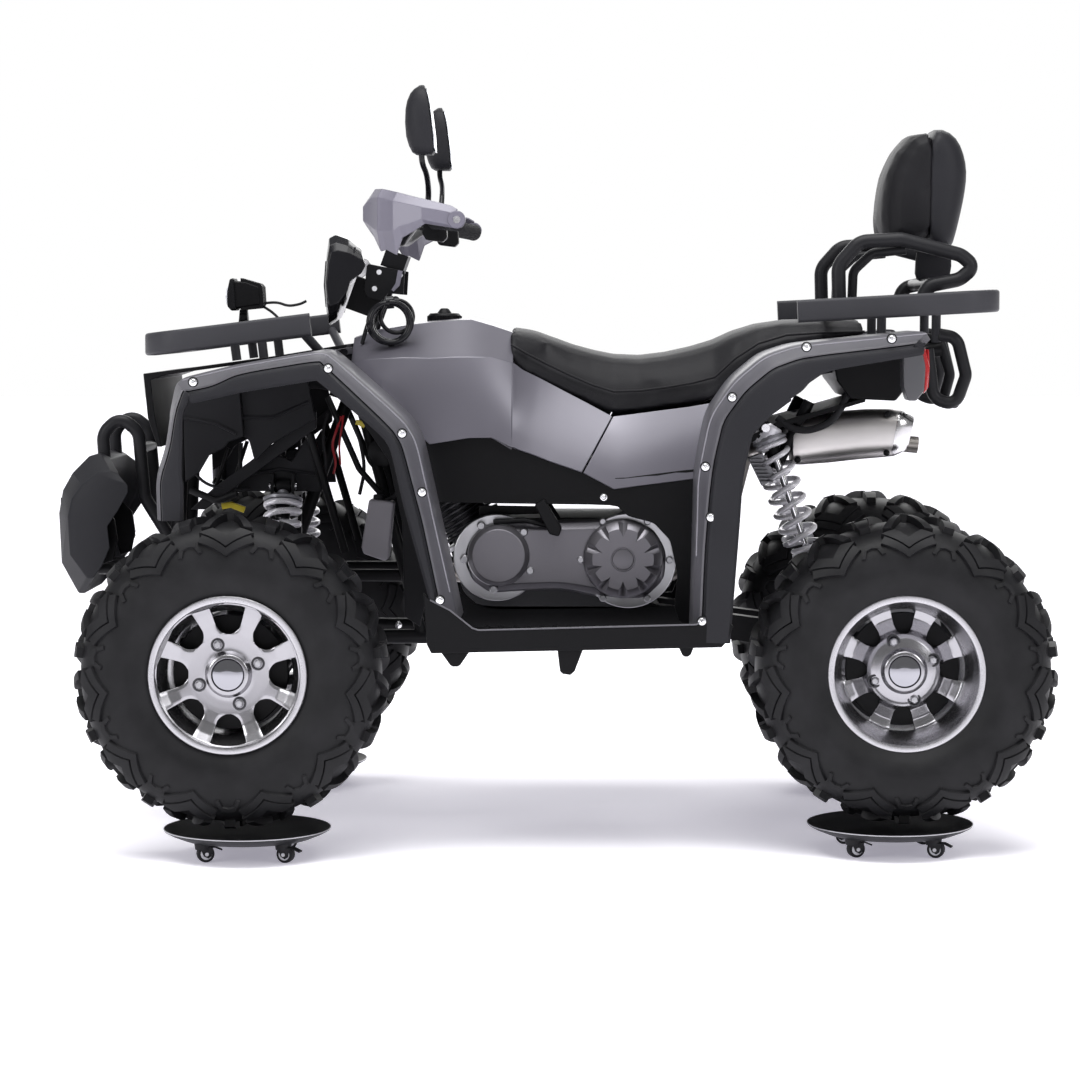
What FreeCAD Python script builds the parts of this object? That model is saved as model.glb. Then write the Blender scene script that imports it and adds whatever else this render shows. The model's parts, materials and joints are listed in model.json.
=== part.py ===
"""Utility quad bike on four round wheel dollies, modelled in millimetres.

+Z is up, the front of the machine points along -X and its left side along -Y.
The origin lies on the floor, midway between the front guard and the rear tyres.
Outlines are written in machine stations: the distance behind the front axle and
the height above the floor, on wheels that stand on their dollies.
"""
import FreeCAD, Part
import math
import os
from FreeCAD import Placement, Rotation, Vector

doc = FreeCAD.newDocument("quad_bike")
sheet = doc.addObject("Spreadsheet::Sheet", "Sizes")

DRIVING_SIZES = {
    "wheelbase": 1234,
    "guard_reach": 378,
    "front_half_track": 470,
    "rear_half_track": 378,
    "front_tyre_radius": 290,
    "front_tyre_width": 182,
    "rear_tyre_radius": 287,
    "rear_tyre_width": 250,
    "tyre_wall": 14,
    "bead_radius": 142,
    "front_rim_width": 160,
    "rear_rim_width": 204,
    "front_dish": 37,
    "rear_dish": 85,
    "rim_flange": 6,
    "rim_wall": 6,
    "window_count": 8,
    "hub_radius": 42,
    "lug_circle": 110,
    "lug_nut_radius": 9,
    "cap_radius": 34,
    "dolly_plate_height": 50,
    "dolly_plate_radius": 154,
    "dolly_plate_wall": 4,
    "caster_radius": 17,
    "caster_width": 15,
    "caster_circle": 112,
    "tyre_gap": 5,
    "kingpin_offset": 70,
    "ball_joint_low": 75,
    "ball_joint_high": 82,
    "ball_stud_radius": 8,
    "stud_clearance": 0.3,
    "spindle_radius": 15,
    "bearing_clearance": 0.3,
    "arm_pivot_half": 125,
    "arm_tube": 24,
    "frame_tube": 28,
    "frame_half": 112,
    "rear_axle_tube": 32,
    "column_tube": 26,
    "column_lean": 20,
    "handlebar_tube": 22,
    "grip_diameter": 33,
    "rack_half": 330,
    "rack_bar_height": 42,
    "rack_bar_width": 24,
    "fender_half": 482,
    "panel_wall": 4,
    "seat_half": 158,
    "floor_wall": 8,
    "muffler_height": 92,
    "spring_radius": 34,
    "rear_spring_radius": 28,
    "damper_radius": 19,
}
for row, (alias, number) in enumerate(DRIVING_SIZES.items(), 1):
    sheet.set(f"A{row}", alias)
    sheet.set(f"B{row}", str(number))
    sheet.setAlias(f"B{row}", alias)
doc.recompute()


def size(alias):
    """The number that the sheet holds under this name."""
    return float(sheet.get(alias))


DESIGN_WHEELBASE = 1234
DESIGN_HUB_HEIGHT = 345
MIDDLE_STARTS = 330
MIDDLE_ENDS = 900

length = size("guard_reach") + size("wheelbase") + size("rear_tyre_radius")
front_axle_x = size("guard_reach") - length / 2
rear_axle_x = front_axle_x + size("wheelbase")
front_hub_z = size("dolly_plate_height") + size("tyre_gap") + size("front_tyre_radius")
rear_hub_z = size("dolly_plate_height") + size("tyre_gap") + size("rear_tyre_radius")
kingpin_half = size("front_half_track") - size("kingpin_offset")


def station_x(back):
    """X of a station; the middle of the machine stretches with the wheelbase."""
    growth = size("wheelbase") - DESIGN_WHEELBASE
    share = min(max((back - MIDDLE_STARTS) / (MIDDLE_ENDS - MIDDLE_STARTS), 0), 1)
    return front_axle_x + back + growth * share


def level_z(height):
    """Z of a design height; the machine rises with its hubs."""
    return height + front_hub_z - DESIGN_HUB_HEIGHT


def at(back, side, height):
    """Point of the machine at a station, a distance to the right and a height."""
    return Vector(station_x(back), side, level_z(height))


def mirrored(shape):
    """The same shape on the other side of the machine."""
    return shape.mirror(Vector(0, 0, 0), Vector(0, 1, 0))


def both_sides(shape):
    """A left-hand shape together with its right-hand twin."""
    return Part.makeCompound([shape, mirrored(shape)])


def joined(shapes):
    """One shape fused from several that touch."""
    shapes = list(shapes)
    if len(shapes) == 1:
        return shapes[0]
    whole = shapes[0].fuse(shapes[1:])
    tidy = whole.removeSplitter()
    return tidy if tidy.isValid() else whole


def rod(start, end, radius):
    """Round bar between two points."""
    span = end - start
    return Part.makeCylinder(radius, span.Length, start, span)


def bent_path(points, bend):
    """Straight runs joined by tangent arcs of one radius, or less where a run is short."""
    edges = []
    last = points[0]
    for before, corner, after in zip(points, points[1:], points[2:]):
        inward = (before - corner).normalize()
        outward = (after - corner).normalize()
        half_turn = (math.pi - inward.getAngle(outward)) / 2
        if half_turn < 0.01:
            continue
        shorter = min((before - corner).Length, (after - corner).Length)
        radius = min(bend, 0.48 * shorter / math.tan(half_turn))
        setback = radius * math.tan(half_turn)
        first = corner + inward * setback
        second = corner + outward * setback
        middle_way = (inward + outward).normalize()
        middle = corner + middle_way * (radius / math.cos(half_turn) - radius)
        edges.append(Part.LineSegment(last, first).toShape())
        edges.append(Part.Arc(first, middle, second).toShape())
        last = second
    edges.append(Part.LineSegment(last, points[-1]).toShape())
    return Part.Wire(edges)


def tube(points, diameter, bend=60):
    """Bent round tube with closed ends along a path."""
    path = bent_path(points, bend)
    start_way = points[1] - points[0]
    section = Part.Wire([Part.makeCircle(diameter / 2, points[0], start_way)])
    return path.makePipeShell([section], True, False)


def polygon(points):
    """Closed wire through points."""
    return Part.makePolygon(list(points) + [points[0]])


def side_plate(outline, near, far):
    """Flat piece with an outline of stations and heights, from one side distance to another."""
    wire = polygon([at(back, near, height) for back, height in outline])
    return Part.Face(wire).extrude(Vector(0, far - near, 0))


def ring_about_y(profile, hub_x, hub_z):
    """Solid of revolution about an axle; the profile holds side distances and radii."""
    wire = polygon([Vector(hub_x, side, hub_z + radius) for side, radius in profile])
    return Part.Face(wire).revolve(Vector(hub_x, 0, hub_z), Vector(0, 1, 0), 360)


def box_between(low, high):
    """Upright block between two corners."""
    low_corner = Vector(min(low.x, high.x), min(low.y, high.y), min(low.z, high.z))
    return Part.makeBox(abs(high.x - low.x), abs(high.y - low.y), abs(high.z - low.z), low_corner)


def ribbon(stations, section, wall):
    """Curved panel: a section of side distances and drops is carried along a side-view path.

    Each station is a point of the path; the drop of a section point is measured square to the
    path, and the panel's thickness lies on the same side."""
    wires = []
    for index, (back, height) in enumerate(stations):
        before = stations[max(index - 1, 0)]
        after = stations[min(index + 1, len(stations) - 1)]
        run = Vector(after[0] - before[0], 0, after[1] - before[1]).normalize()
        inward = Vector(run.z, 0, -run.x)
        base = at(back, 0, height)
        top = [base + Vector(0, side, 0) + inward * drop for side, drop in section]
        under = [
            base + Vector(0, side + (wall if side < section[0][0] else 0), 0) + inward * (drop + wall)
            for side, drop in section
        ]
        wires.append(polygon(top + under[::-1]))
    return Part.makeLoft(wires, True, True)


nodes = []


def node(label, shape):
    """Sub-part of the document with a set shape."""
    part = doc.addObject("Part::Feature", label)
    part.Label = label
    part.Shape = shape
    part.Placement = shape.Placement
    nodes.append(part)
    return part


# Wheels


def tyre_profile(width, radius, rim_width):
    """Cross-section of a casing round its axle, from one bead over the tread to the other."""
    half = width / 2
    seat_half = (rim_width / 2 - size("rim_flange") - 0.5) / half
    bead = size("bead_radius")
    wall = size("tyre_wall")
    outside = [
        (seat_half, 0.002), (seat_half, 0.05), (0.955, 0.15), (1.0, 0.42), (0.985, 0.70), (0.93, 0.87), (0.60, 0.975), (0.25, 1.0),
    ]
    rise = radius - bead
    right = [(half * across, bead + rise * up) for across, up in outside]
    inner = [(half * across - wall * min(1, across * 1.2), bead + (rise - wall) * up) for across, up in outside]
    loop = right + [(-side, height) for side, height in reversed(right)]
    loop += [(-side, height) for side, height in inner]
    loop += [(side, height) for side, height in reversed(inner)]
    return loop


def rim_profile(width):
    """Cross-section of a rim barrel: flanges, bead seats and the drop between them."""
    half = width / 2
    flange = size("rim_flange")
    wall = size("rim_wall")
    seat = size("bead_radius") - 0.3
    drop = seat - 16
    outer = [
        (half, seat + 6), (half - flange, seat + 6), (half - flange, seat), (half * 0.66, seat),
        (half * 0.55, drop), (-half * 0.55, drop), (-half * 0.66, seat), (-half + flange, seat),
        (-half + flange, seat + 6), (-half, seat + 6),
    ]
    inner = [
        (-half, seat - wall), (-half * 0.62, seat - wall), (-half * 0.51, drop - wall),
        (half * 0.51, drop - wall), (half * 0.62, seat - wall), (half, seat - wall),
    ]
    return outer + inner


def tyre(label, hub_x, hub_z, middle, width, radius, rim_width):
    """Tyre as a sketched casing turned about its axle."""
    profile = [(middle + side, height) for side, height in tyre_profile(width, radius, rim_width)]
    return node(label, ring_about_y(profile, hub_x, hub_z))


def rim(label, hub_x, hub_z, middle, outward, width, dish, bore):
    """Cast wheel: barrel, windowed face, hub, centre cap and lug nuts."""
    barrel = ring_about_y([(middle + outward * side, height) for side, height in rim_profile(width)],
                          hub_x, hub_z)
    face_side = width / 2 - dish
    drop_inner = size("bead_radius") - 16 - size("rim_wall")
    face = [
        (face_side - 12, bore), (face_side + 6, bore), (face_side + 6, size("hub_radius")),
        (face_side, 70), (face_side - 3, drop_inner + 2), (face_side - 13, drop_inner + 2),
        (face_side - 9, 70), (face_side - 12, size("hub_radius")),
    ]
    disc = ring_about_y([(middle + outward * side, height) for side, height in face], hub_x, hub_z)
    window_low = 74
    window_high = drop_inner - 4
    windows = []
    for index in range(int(size("window_count"))):
        angle = 360 / size("window_count") * (index + 0.5)
        half_low = 17
        half_high = 28
        outline = [
            Vector(hub_x - half_low, 0, hub_z + window_low), Vector(hub_x + half_low, 0, hub_z + window_low),
            Vector(hub_x + half_high, 0, hub_z + window_high - 8), Vector(hub_x + half_high - 9, 0, hub_z + window_high),
            Vector(hub_x - half_high + 9, 0, hub_z + window_high), Vector(hub_x - half_high, 0, hub_z + window_high - 8),
        ]
        cutter = Part.Face(polygon(outline)).extrude(Vector(0, 40, 0))
        cutter.translate(Vector(0, middle + outward * (face_side - 5) - 20, 0))
        cutter.rotate(Vector(hub_x, 0, hub_z), Vector(0, 1, 0), angle)
        windows.append(cutter)
    disc = disc.cut(windows)
    inner_hub = ring_about_y(
        [(middle + outward * side, height) for side, height in
         [(face_side - 60, bore), (face_side - 4, bore), (face_side - 4, size("hub_radius") - 6),
          (face_side - 60, size("hub_radius") - 6)]], hub_x, hub_z)
    way = Vector(0, outward, 0)
    cap_start = Vector(hub_x, middle + outward * (face_side + 4), hub_z)
    cap = Part.makeCylinder(size("cap_radius"), 16, cap_start, way)
    nuts = []
    for index in range(4):
        angle = math.radians(45 + 90 * index)
        centre = Vector(hub_x + size("lug_circle") / 2 * math.cos(angle), middle + outward * (face_side - 2),
                        hub_z + size("lug_circle") / 2 * math.sin(angle))
        nuts.append(Part.makeCylinder(size("lug_nut_radius"), 14, centre, way))
    return node(label, joined([barrel, disc, inner_hub, cap] + nuts))


spindle_bore = size("spindle_radius") + size("bearing_clearance")
for side_name, side in (("left", -1), ("right", 1)):
    tyre(f"front_tyre_{side_name}", front_axle_x, front_hub_z, side * size("front_half_track"),
         size("front_tyre_width"), size("front_tyre_radius"), size("front_rim_width"))
    rim(f"front_rim_{side_name}", front_axle_x, front_hub_z, side * size("front_half_track"), side,
        size("front_rim_width"), size("front_dish"), spindle_bore)
    tyre(f"rear_tyre_{side_name}", rear_axle_x, rear_hub_z, side * size("rear_half_track"),
         size("rear_tyre_width"), size("rear_tyre_radius"), size("rear_rim_width"))
    rim(f"rear_rim_{side_name}", rear_axle_x, rear_hub_z, side * size("rear_half_track"), side,
        size("rear_rim_width"), size("rear_dish"), size("rear_axle_tube") / 2)

rear_face = size("rear_half_track") + size("rear_rim_width") / 2 - size("rear_dish")
axle_bar = rod(Vector(rear_axle_x, -rear_face, rear_hub_z), Vector(rear_axle_x, rear_face, rear_hub_z),
               size("rear_axle_tube") / 2)
brake_rotor = rod(Vector(rear_axle_x, 128, rear_hub_z), Vector(rear_axle_x, 133, rear_hub_z), 92)
rotor_boss = rod(Vector(rear_axle_x, 118, rear_hub_z), Vector(rear_axle_x, 150, rear_hub_z), 32)
node("rear_axle", joined([axle_bar, brake_rotor, rotor_boss]))

# Steering knuckles, kingpins at the ball joints

low_ball_z = front_hub_z - size("ball_joint_low")
high_ball_z = front_hub_z + size("ball_joint_high")
steer_arm_back = -95
steer_arm_half = 385
steer_arm_z = front_hub_z + 42


def knuckle(label, side):
    """Upright with two ball-joint bosses, wheel spindle, steering arm and brake caliper."""
    pin_y = side * kingpin_half
    low_boss = rod(Vector(front_axle_x, pin_y, low_ball_z - 8), Vector(front_axle_x, pin_y, low_ball_z + 20), 19)
    high_boss = rod(Vector(front_axle_x, pin_y, high_ball_z - 22), Vector(front_axle_x, pin_y, high_ball_z + 6), 19)
    upright = box_between(Vector(front_axle_x - 18, pin_y - 16, low_ball_z + 10),
                          Vector(front_axle_x + 18, pin_y + 16, high_ball_z - 12))
    spindle_end = side * (size("front_half_track") + size("front_rim_width") / 2 - size("front_dish"))
    spindle = rod(Vector(front_axle_x, pin_y, front_hub_z), Vector(front_axle_x, spindle_end, front_hub_z),
                  size("spindle_radius"))
    arm = rod(Vector(front_axle_x - 10, pin_y, steer_arm_z), Vector(front_axle_x + steer_arm_back, side * steer_arm_half, steer_arm_z), 9)
    arm_eye = rod(Vector(front_axle_x + steer_arm_back, side * steer_arm_half, steer_arm_z - 11),
                  Vector(front_axle_x + steer_arm_back, side * steer_arm_half, steer_arm_z + 11), 15)
    body = joined([upright, low_boss, high_boss, spindle, arm, arm_eye])
    stud_hole = size("ball_stud_radius") + size("stud_clearance")
    for centre_z, reach in ((low_ball_z - 8, 24), (high_ball_z + 6, -24)):
        body = body.cut(rod(Vector(front_axle_x, pin_y, centre_z - math.copysign(1, reach)),
                            Vector(front_axle_x, pin_y, centre_z + reach), stud_hole))
    tie_hole = rod(Vector(front_axle_x + steer_arm_back, side * steer_arm_half, steer_arm_z - 12),
                   Vector(front_axle_x + steer_arm_back, side * steer_arm_half, steer_arm_z + 12), 5.5)
    return node(label, body.cut(tie_hole))


knuckle("knuckle_left", -1)
knuckle("knuckle_right", 1)

# Front suspension arms and coil shocks

EYE_HALF = 14


def wishbone(side, eye_z, stud_way, pivot_height, half_spread, tube_diameter):
    """A-shaped arm: two tubes from a ball-joint eye to two pivot bushes."""
    eye = Vector(front_axle_x, side * kingpin_half, eye_z)
    eye_solid = rod(eye - Vector(0, 0, EYE_HALF), eye + Vector(0, 0, EYE_HALF), 19)
    stud = rod(eye, eye + Vector(0, 0, EYE_HALF + 22) * stud_way, size("ball_stud_radius"))
    pieces = [eye_solid, stud]
    for way in (-1, 1):
        pivot = at(way * half_spread, side * size("arm_pivot_half"), pivot_height)
        elbow = eye + Vector(way * 14, -side * 56, 2 + 6 * (pivot.z - eye.z) / 100)
        pieces.append(tube([eye + Vector(way * 2, 0, 0), elbow, pivot], tube_diameter, 60))
        pieces.append(rod(pivot - Vector(22, 0, 0), pivot + Vector(22, 0, 0), 17))
    return pieces


ARM_LOW_SPREAD = 112
EYE_GAP = 5
ARM_HIGH_SPREAD = 60
ARM_LOW_HEIGHT = 385
ARM_HIGH_HEIGHT = 490
low_eye_z = low_ball_z - 8 - EYE_GAP - EYE_HALF
high_eye_z = high_ball_z + 6 + EYE_GAP + EYE_HALF
SHOCK_BACK = 66
SHOCK_FOOT = (272, 352)
SHOCK_HEAD = (172, 668)


def front_arms(side):
    """Lower and upper arm of one side, with the shock's foot bracket on the lower one."""
    low = wishbone(side, low_eye_z, 1, ARM_LOW_HEIGHT, ARM_LOW_SPREAD, size("arm_tube"))
    high = wishbone(side, high_eye_z, -1, ARM_HIGH_HEIGHT, ARM_HIGH_SPREAD, size("arm_tube") - 2)
    foot_side, foot_height = SHOCK_FOOT
    bracket = box_between(at(SHOCK_BACK - 22, side * (foot_side - 15), foot_height - 52),
                          at(SHOCK_BACK - 17, side * (foot_side + 15), foot_height + 12))
    return [joined(low + [bracket]), joined(high)]


arms = front_arms(-1)
node("front_arms", Part.makeCompound(arms + [mirrored(arm) for arm in arms]))


def coil_shock(foot, head, spring_radius, coil_from, coil_to):
    """Damper, rod and eyes; the coil's envelope is a ribbed sleeve on two cups."""
    way = (head - foot).normalize()
    total = (head - foot).Length
    damper = size("damper_radius")
    profile = [
        (0, 0), (0, 8), (12, 9), (14, damper), (coil_from, damper), (coil_from, spring_radius + 3),
        (coil_from + 6, spring_radius + 3), (coil_from + 6, spring_radius),
        (coil_to - 6, spring_radius), (coil_to - 6, spring_radius + 3), (coil_to, spring_radius + 3),
        (coil_to, damper - 4), (total - 8, damper - 6), (total - 8, 8), (total, 8), (total, 0),
    ]
    wire = polygon([Vector(radius, 0, along) for along, radius in profile])
    body = Part.Face(wire).revolve(Vector(0, 0, 0), Vector(0, 0, 1), 360)
    body.Placement = Placement(foot, Rotation(Vector(0, 0, 1), way))
    eyes = [rod(end - Vector(0, 13, 0), end + Vector(0, 13, 0), 13) for end in (foot, head)]
    return joined([body] + eyes)


def crosswise_shock(side):
    """Front shock, leaning inward, its eyes turned along the machine."""
    foot_side, foot_height = SHOCK_FOOT
    head_side, head_height = SHOCK_HEAD
    foot = at(SHOCK_BACK, side * foot_side, foot_height)
    head = at(SHOCK_BACK, side * head_side, head_height)
    way = (head - foot).normalize()
    total = (head - foot).Length
    damper = size("damper_radius")
    spring = size("spring_radius")
    coil_from = 172
    coil_to = total - 28
    profile = [
        (0, 0), (0, 9), (14, damper - 3), (coil_from, damper - 3), (coil_from, spring + 3), (coil_from + 6, spring + 3),
        (coil_from + 6, spring), (coil_to - 6, spring), (coil_to - 6, spring + 3), (coil_to, spring + 3),
        (coil_to, 12), (total, 9), (total, 0),
    ]
    wire = polygon([Vector(radius, 0, along) for along, radius in profile])
    body = Part.Face(wire).revolve(Vector(0, 0, 0), Vector(0, 0, 1), 360)
    body.Placement = Placement(foot, Rotation(Vector(0, 0, 1), way))
    eyes = [rod(end - Vector(17, 0, 0), end + Vector(17, 0, 0), 14) for end in (foot, head)]
    return joined([body] + eyes)


front_shock = crosswise_shock(-1)
node("front_shocks", both_sides(front_shock))

# Frame: rails, cradle, front box and seat rails

half = size("frame_half")
pipe = size("frame_tube")


def frame_side():
    """Left-hand tubes: lower rail and rear upright, upper rail and seat rail."""
    lower = tube([at(-150, -half + 24, 560), at(-158, -half + 24, 376), at(180, -half + 24, 376), at(250, -half, 372),
                  at(800, -half, 372), at(880, -half, 420), at(905, -half, 800)], pipe, 70)
    upper = tube([at(-150, -half + 24, 520), at(-136, -half + 24, 800), at(120, -half + 24, 868), at(480, -half, 800),
                  at(560, -half, 765), at(800, -half, 778), at(960, -half, 835), at(1100, -half, 895),
                  at(1330, -half, 930)], pipe, 70)
    down = rod(at(327, -half, 378), at(204, -half + 12, 846), pipe / 2 - 3)
    return [lower, upper, down]


left_tubes = frame_side()
cross_stations = [(-148, 470, 24), (170, 376, 24), (330, 372, 0), (800, 372, 0), (905, 700, 0), (1060, 878, 0), (1318, 928, 0)]
crossings = [rod(at(back, -half + inset, height), at(back, half - inset, height), pipe / 2 - 2)
             for back, height, inset in cross_stations]
arm_boxes = []
for pivot_height, spread in ((ARM_LOW_HEIGHT, ARM_LOW_SPREAD), (ARM_HIGH_HEIGHT, ARM_HIGH_SPREAD)):
    for way in (-1, 1):
        for edge in (-1, 1):
            for side in (-1, 1):
                back = way * spread + edge * 24.5
                arm_boxes.append(box_between(at(back - 2.5, side * 76, pivot_height - 14),
                                             at(back + 2.5, side * 142, pivot_height + 17)))
high_rail = rod(at(-150, -half + 24, ARM_HIGH_HEIGHT), at(330 - 30, -half + 10, ARM_HIGH_HEIGHT), pipe / 2 - 2)
towers = []
for edge in (-1, 1):
    back = SHOCK_BACK + edge * 20
    towers.append(box_between(at(back - 3, -190, 645), at(back + 3, 190, 692)))
    for post in (-47, 47):
        towers.append(box_between(at(back - 3, post - 12, ARM_HIGH_HEIGHT - 5), at(back + 3, post + 12, 845)))
towers.append(box_between(at(SHOCK_BACK - 27, -half + 24, 842), at(SHOCK_BACK + 27, half - 24, 854)))
column_foot = at(20, 0, 398)
column_way = Vector(math.sin(math.radians(size("column_lean"))), 0, math.cos(math.radians(size("column_lean"))))
column_turn = Rotation(Vector(0, 1, 0), size("column_lean"))
bearings = []
for along, reach, wall in ((92, 90, 12), (465, half - 20, 12)):
    plate = Part.makeBox(62, 2 * reach, wall, Vector(-31, -reach, along - wall / 2))
    plate.Placement = Placement(column_foot, column_turn)
    bearings.append(plate)
column_hole = rod(column_foot, column_foot + column_way * 540, size("column_tube") / 2 + 1.5)
rails = left_tubes + [mirrored(piece) for piece in left_tubes] + crossings
front_box = [high_rail, mirrored(high_rail)] + arm_boxes + towers + bearings
node("frame", joined(rails + front_box).cut(column_hole))

# Rear suspension: swinging fork, final drive and coil shocks

FORK_PIVOT = (770, 413)


def rear_fork():
    """Two box arms from the pivot tube back to the axle carrier."""
    pivot_back, pivot_height = FORK_PIVOT
    pivot = rod(at(pivot_back, -96, pivot_height), at(pivot_back, 96, pivot_height), 24)
    bearing_z = rear_hub_z - level_z(0)
    carrier_bore = size("rear_axle_tube") / 2 + size("bearing_clearance")
    carrier = rod(Vector(rear_axle_x, -112, rear_hub_z), Vector(rear_axle_x, 112, rear_hub_z), 40)
    carrier = carrier.cut(rod(Vector(rear_axle_x, -120, rear_hub_z), Vector(rear_axle_x, 120, rear_hub_z), carrier_bore))
    arms = []
    for side in (-1, 1):
        outline = [(pivot_back, pivot_height - 22), (pivot_back, pivot_height + 22), (1215, bearing_z + 34), (1215, bearing_z - 22)]
        arms.append(side_plate(outline, side * 94, side * 58))
    lug_heads = [box_between(at(1085, side * 58, 360), at(1125, side * 94, 432)) for side in (-1, 1)]
    axle_room = rod(Vector(rear_axle_x, -120, rear_hub_z), Vector(rear_axle_x, 120, rear_hub_z), carrier_bore)
    return joined([pivot, carrier] + arms + lug_heads).cut([axle_room, final_room])


final_room = rod(Vector(rear_axle_x, -58, rear_hub_z), Vector(rear_axle_x, 58, rear_hub_z), 60)
node("rear_fork", rear_fork())
REAR_SHOCK_FOOT = (1105, 455)
REAR_SHOCK_HEAD = (990, 780)
REAR_SHOCK_SIDE = 160


def rear_shock():
    """Left rear shock, leaning forward at its top."""
    foot = at(REAR_SHOCK_FOOT[0], -REAR_SHOCK_SIDE, REAR_SHOCK_FOOT[1])
    head = at(REAR_SHOCK_HEAD[0], -REAR_SHOCK_SIDE, REAR_SHOCK_HEAD[1])
    return coil_shock(foot, head, size("rear_spring_radius"), 90, (head - foot).Length - 24)


node("rear_shocks", both_sides(rear_shock()))
shock_mounts = []
for side in (-1, 1):
    shock_mounts.append(box_between(at(REAR_SHOCK_HEAD[0] - 16, side * (REAR_SHOCK_SIDE - 14), 764),
                                    at(REAR_SHOCK_HEAD[0] + 16, side * (half - 8), 800)))
final_case = joined([rod(Vector(rear_axle_x, -58, rear_hub_z), Vector(rear_axle_x, 58, rear_hub_z), 56),
                     box_between(at(1090, -40, 320), at(1234, 40, 392))])
node("final_drive", final_case.cut(rod(Vector(rear_axle_x, -120, rear_hub_z), Vector(rear_axle_x, 120, rear_hub_z),
                                       size("rear_axle_tube") / 2 + size("bearing_clearance"))))

# Engine


def engine():
    """Crankcase with a round drive cover at each end, a finned cylinder and its head."""
    case = [(395, 520), (410, 462), (455, 424), (735, 428), (765, 446), (815, 478), (812, 560), (760, 606), (560, 606), (470, 600), (405, 585)]
    pieces = [side_plate(case, -150, 140)]
    belt = [(430, 470), (700, 440), (780, 470), (780, 560), (700, 592), (430, 575)]
    pieces.append(side_plate(belt, -186, -140))
    pieces.append(rod(at(484, -196, 525), at(484, -140, 525), 60))
    pieces.append(rod(at(715, -200, 525), at(715, -140, 525), 76))
    pieces.append(rod(at(715, -208, 525), at(715, -190, 525), 52))
    pieces.append(rod(at(715, -214, 525), at(715, -200, 525), 20))
    pieces.append(rod(at(484, -202, 525), at(484, -190, 525), 34))
    low = at(430, 0, 560)
    way = (at(350, 0, 690) - at(430, 0, 560)).normalize()
    pieces.append(rod(low, low + way * 130, 46))
    for index in range(7):
        start = low + way * (24 + index * 13)
        pieces.append(rod(start, start + way * 6, 62))
    return joined(pieces)


node("engine", engine())

# Exhaust


def exhaust():
    """Silencer above the right and left wheels' gap with its pipe from the engine."""
    outline = [(1048, 702), (1052, 790), (1245, 800), (1262, 790), (1242, 722), (1230, 712)]
    can = side_plate(outline, -168, -60)
    pipe_run = tube([at(395, 60, 640), at(300, 120, 640), at(330, 158, 480), at(500, 172, 460), at(820, 172, 470),
                     at(935, 150, 610), at(960, 40, 735), at(1000, -60, 748), at(1080, -100, 748)], 38, 60)
    return joined([can, pipe_run]).cut(doc.getObject("engine").Shape)


# Plastics, the seat and the racks


def tank_cover():
    """Painted cover over the tank with folded shoulders, open round the steering column."""
    sections = []
    for back, top, shoulder, low, wide, top_half in (
            (196, 948, 900, 866, 150, 70), (240, 962, 912, 806, 205, 90), (330, 970, 916, 752, 222, 100),
            (430, 984, 922, 752, 228, 96), (505, 972, 906, 742, 228, 88)):
        half_outline = [(top_half, top), (wide - 18, shoulder), (wide, (shoulder + low) / 2), (wide - 12, low)]
        loop = [at(back, -side, height) for side, height in half_outline]
        loop += [at(back, side, height) for side, height in reversed(half_outline)]
        sections.append(polygon(loop))
    cover = Part.makeLoft(sections, True, True)
    hollow = box_between(at(150, -150, 700), at(600, 150, 915))
    slot = rod(column_foot, column_foot + column_way * 700, size("column_tube") / 2 + 12)
    return cover.cut([hollow, slot])


def leaning_plate(outline, lean_from, lean, wall):
    """Flat left-hand panel that leans outward going down."""
    points = [at(back, -(lean_from + (830 - height) * lean), height) for back, height in outline]
    return Part.Face(polygon(points)).extrude(Vector(0, -wall, 0))


def side_panel():
    """Painted panels below the seat, split by one seam."""
    front = leaning_plate([(510, 948), (541, 901), (655, 812), (698, 801), (636, 695), (510, 748)], 190, 0.25, 10)
    rear = leaning_plate([(702, 801), (883, 821), (859, 752), (851, 690), (704, 668), (641, 695)], 190, 0.25, 10)
    return [front, rear]


def lower_panel():
    """Black panel between the painted side and the engine, with its rear leg."""
    outline = [(324, 750), (352, 646), (700, 638), (806, 618), (822, 456), (846, 456), (852, 684), (702, 662),
               (638, 690), (508, 742)]
    return side_plate(outline, -189, -181)


def seat():
    """Saddle: a crowned loft over its profile, waisted at the front."""
    sections = []
    for back, top, low, wide in ((505, 968, 925, 70), (545, 955, 885, 88), (620, 922, 840, 108), (700, 906, 806, 130),
                                 (790, 905, 806, 150), (880, 922, 828, 160), (960, 950, 868, 158), (1030, 968, 912, 150),
                                 (1180, 972, 940, 140)):
        half_outline = [(wide * 0.62, top), (wide * 0.93, top - 14), (wide, top - 38 if top - 38 > low else (top + low) / 2), (wide * 0.98, low)]
        loop = [at(back, -side, height) for side, height in half_outline]
        loop += [at(back, side, height) for side, height in reversed(half_outline)]
        sections.append(polygon(loop))
    saddle = Part.makeLoft(sections, True, True)
    feet = [rod(at(back, side, high), at(back, side, low), 11)
            for back, high, low in ((660, 850, 772), (1060, 925, 878)) for side in (-half, half)]
    return joined([saddle] + feet).cut(doc.getObject("frame").Shape)


FENDER_FRONT = [(-143, 838), (-134, 862), (-84, 877), (-15, 891), (105, 917), (174, 930), (198, 926), (236, 896),
                (316, 820), (343, 764), (362, 690), (382, 600), (402, 520), (436, 420)]
FENDER_REAR = [(838, 430), (850, 560), (852, 690), (860, 752), (884, 822), (920, 852), (985, 924), (1016, 942),
               (1045, 944), (1170, 953), (1260, 962), (1275, 944)]


def fender(stations, inner):
    """Left wheel guard: a top face with a turned-down outer lip."""
    outer = size("fender_half")
    section = [(-inner, 0), (-outer + 46, 0), (-outer + 12, 7), (-outer, 30)]
    return ribbon(stations, section, size("panel_wall"))


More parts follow.
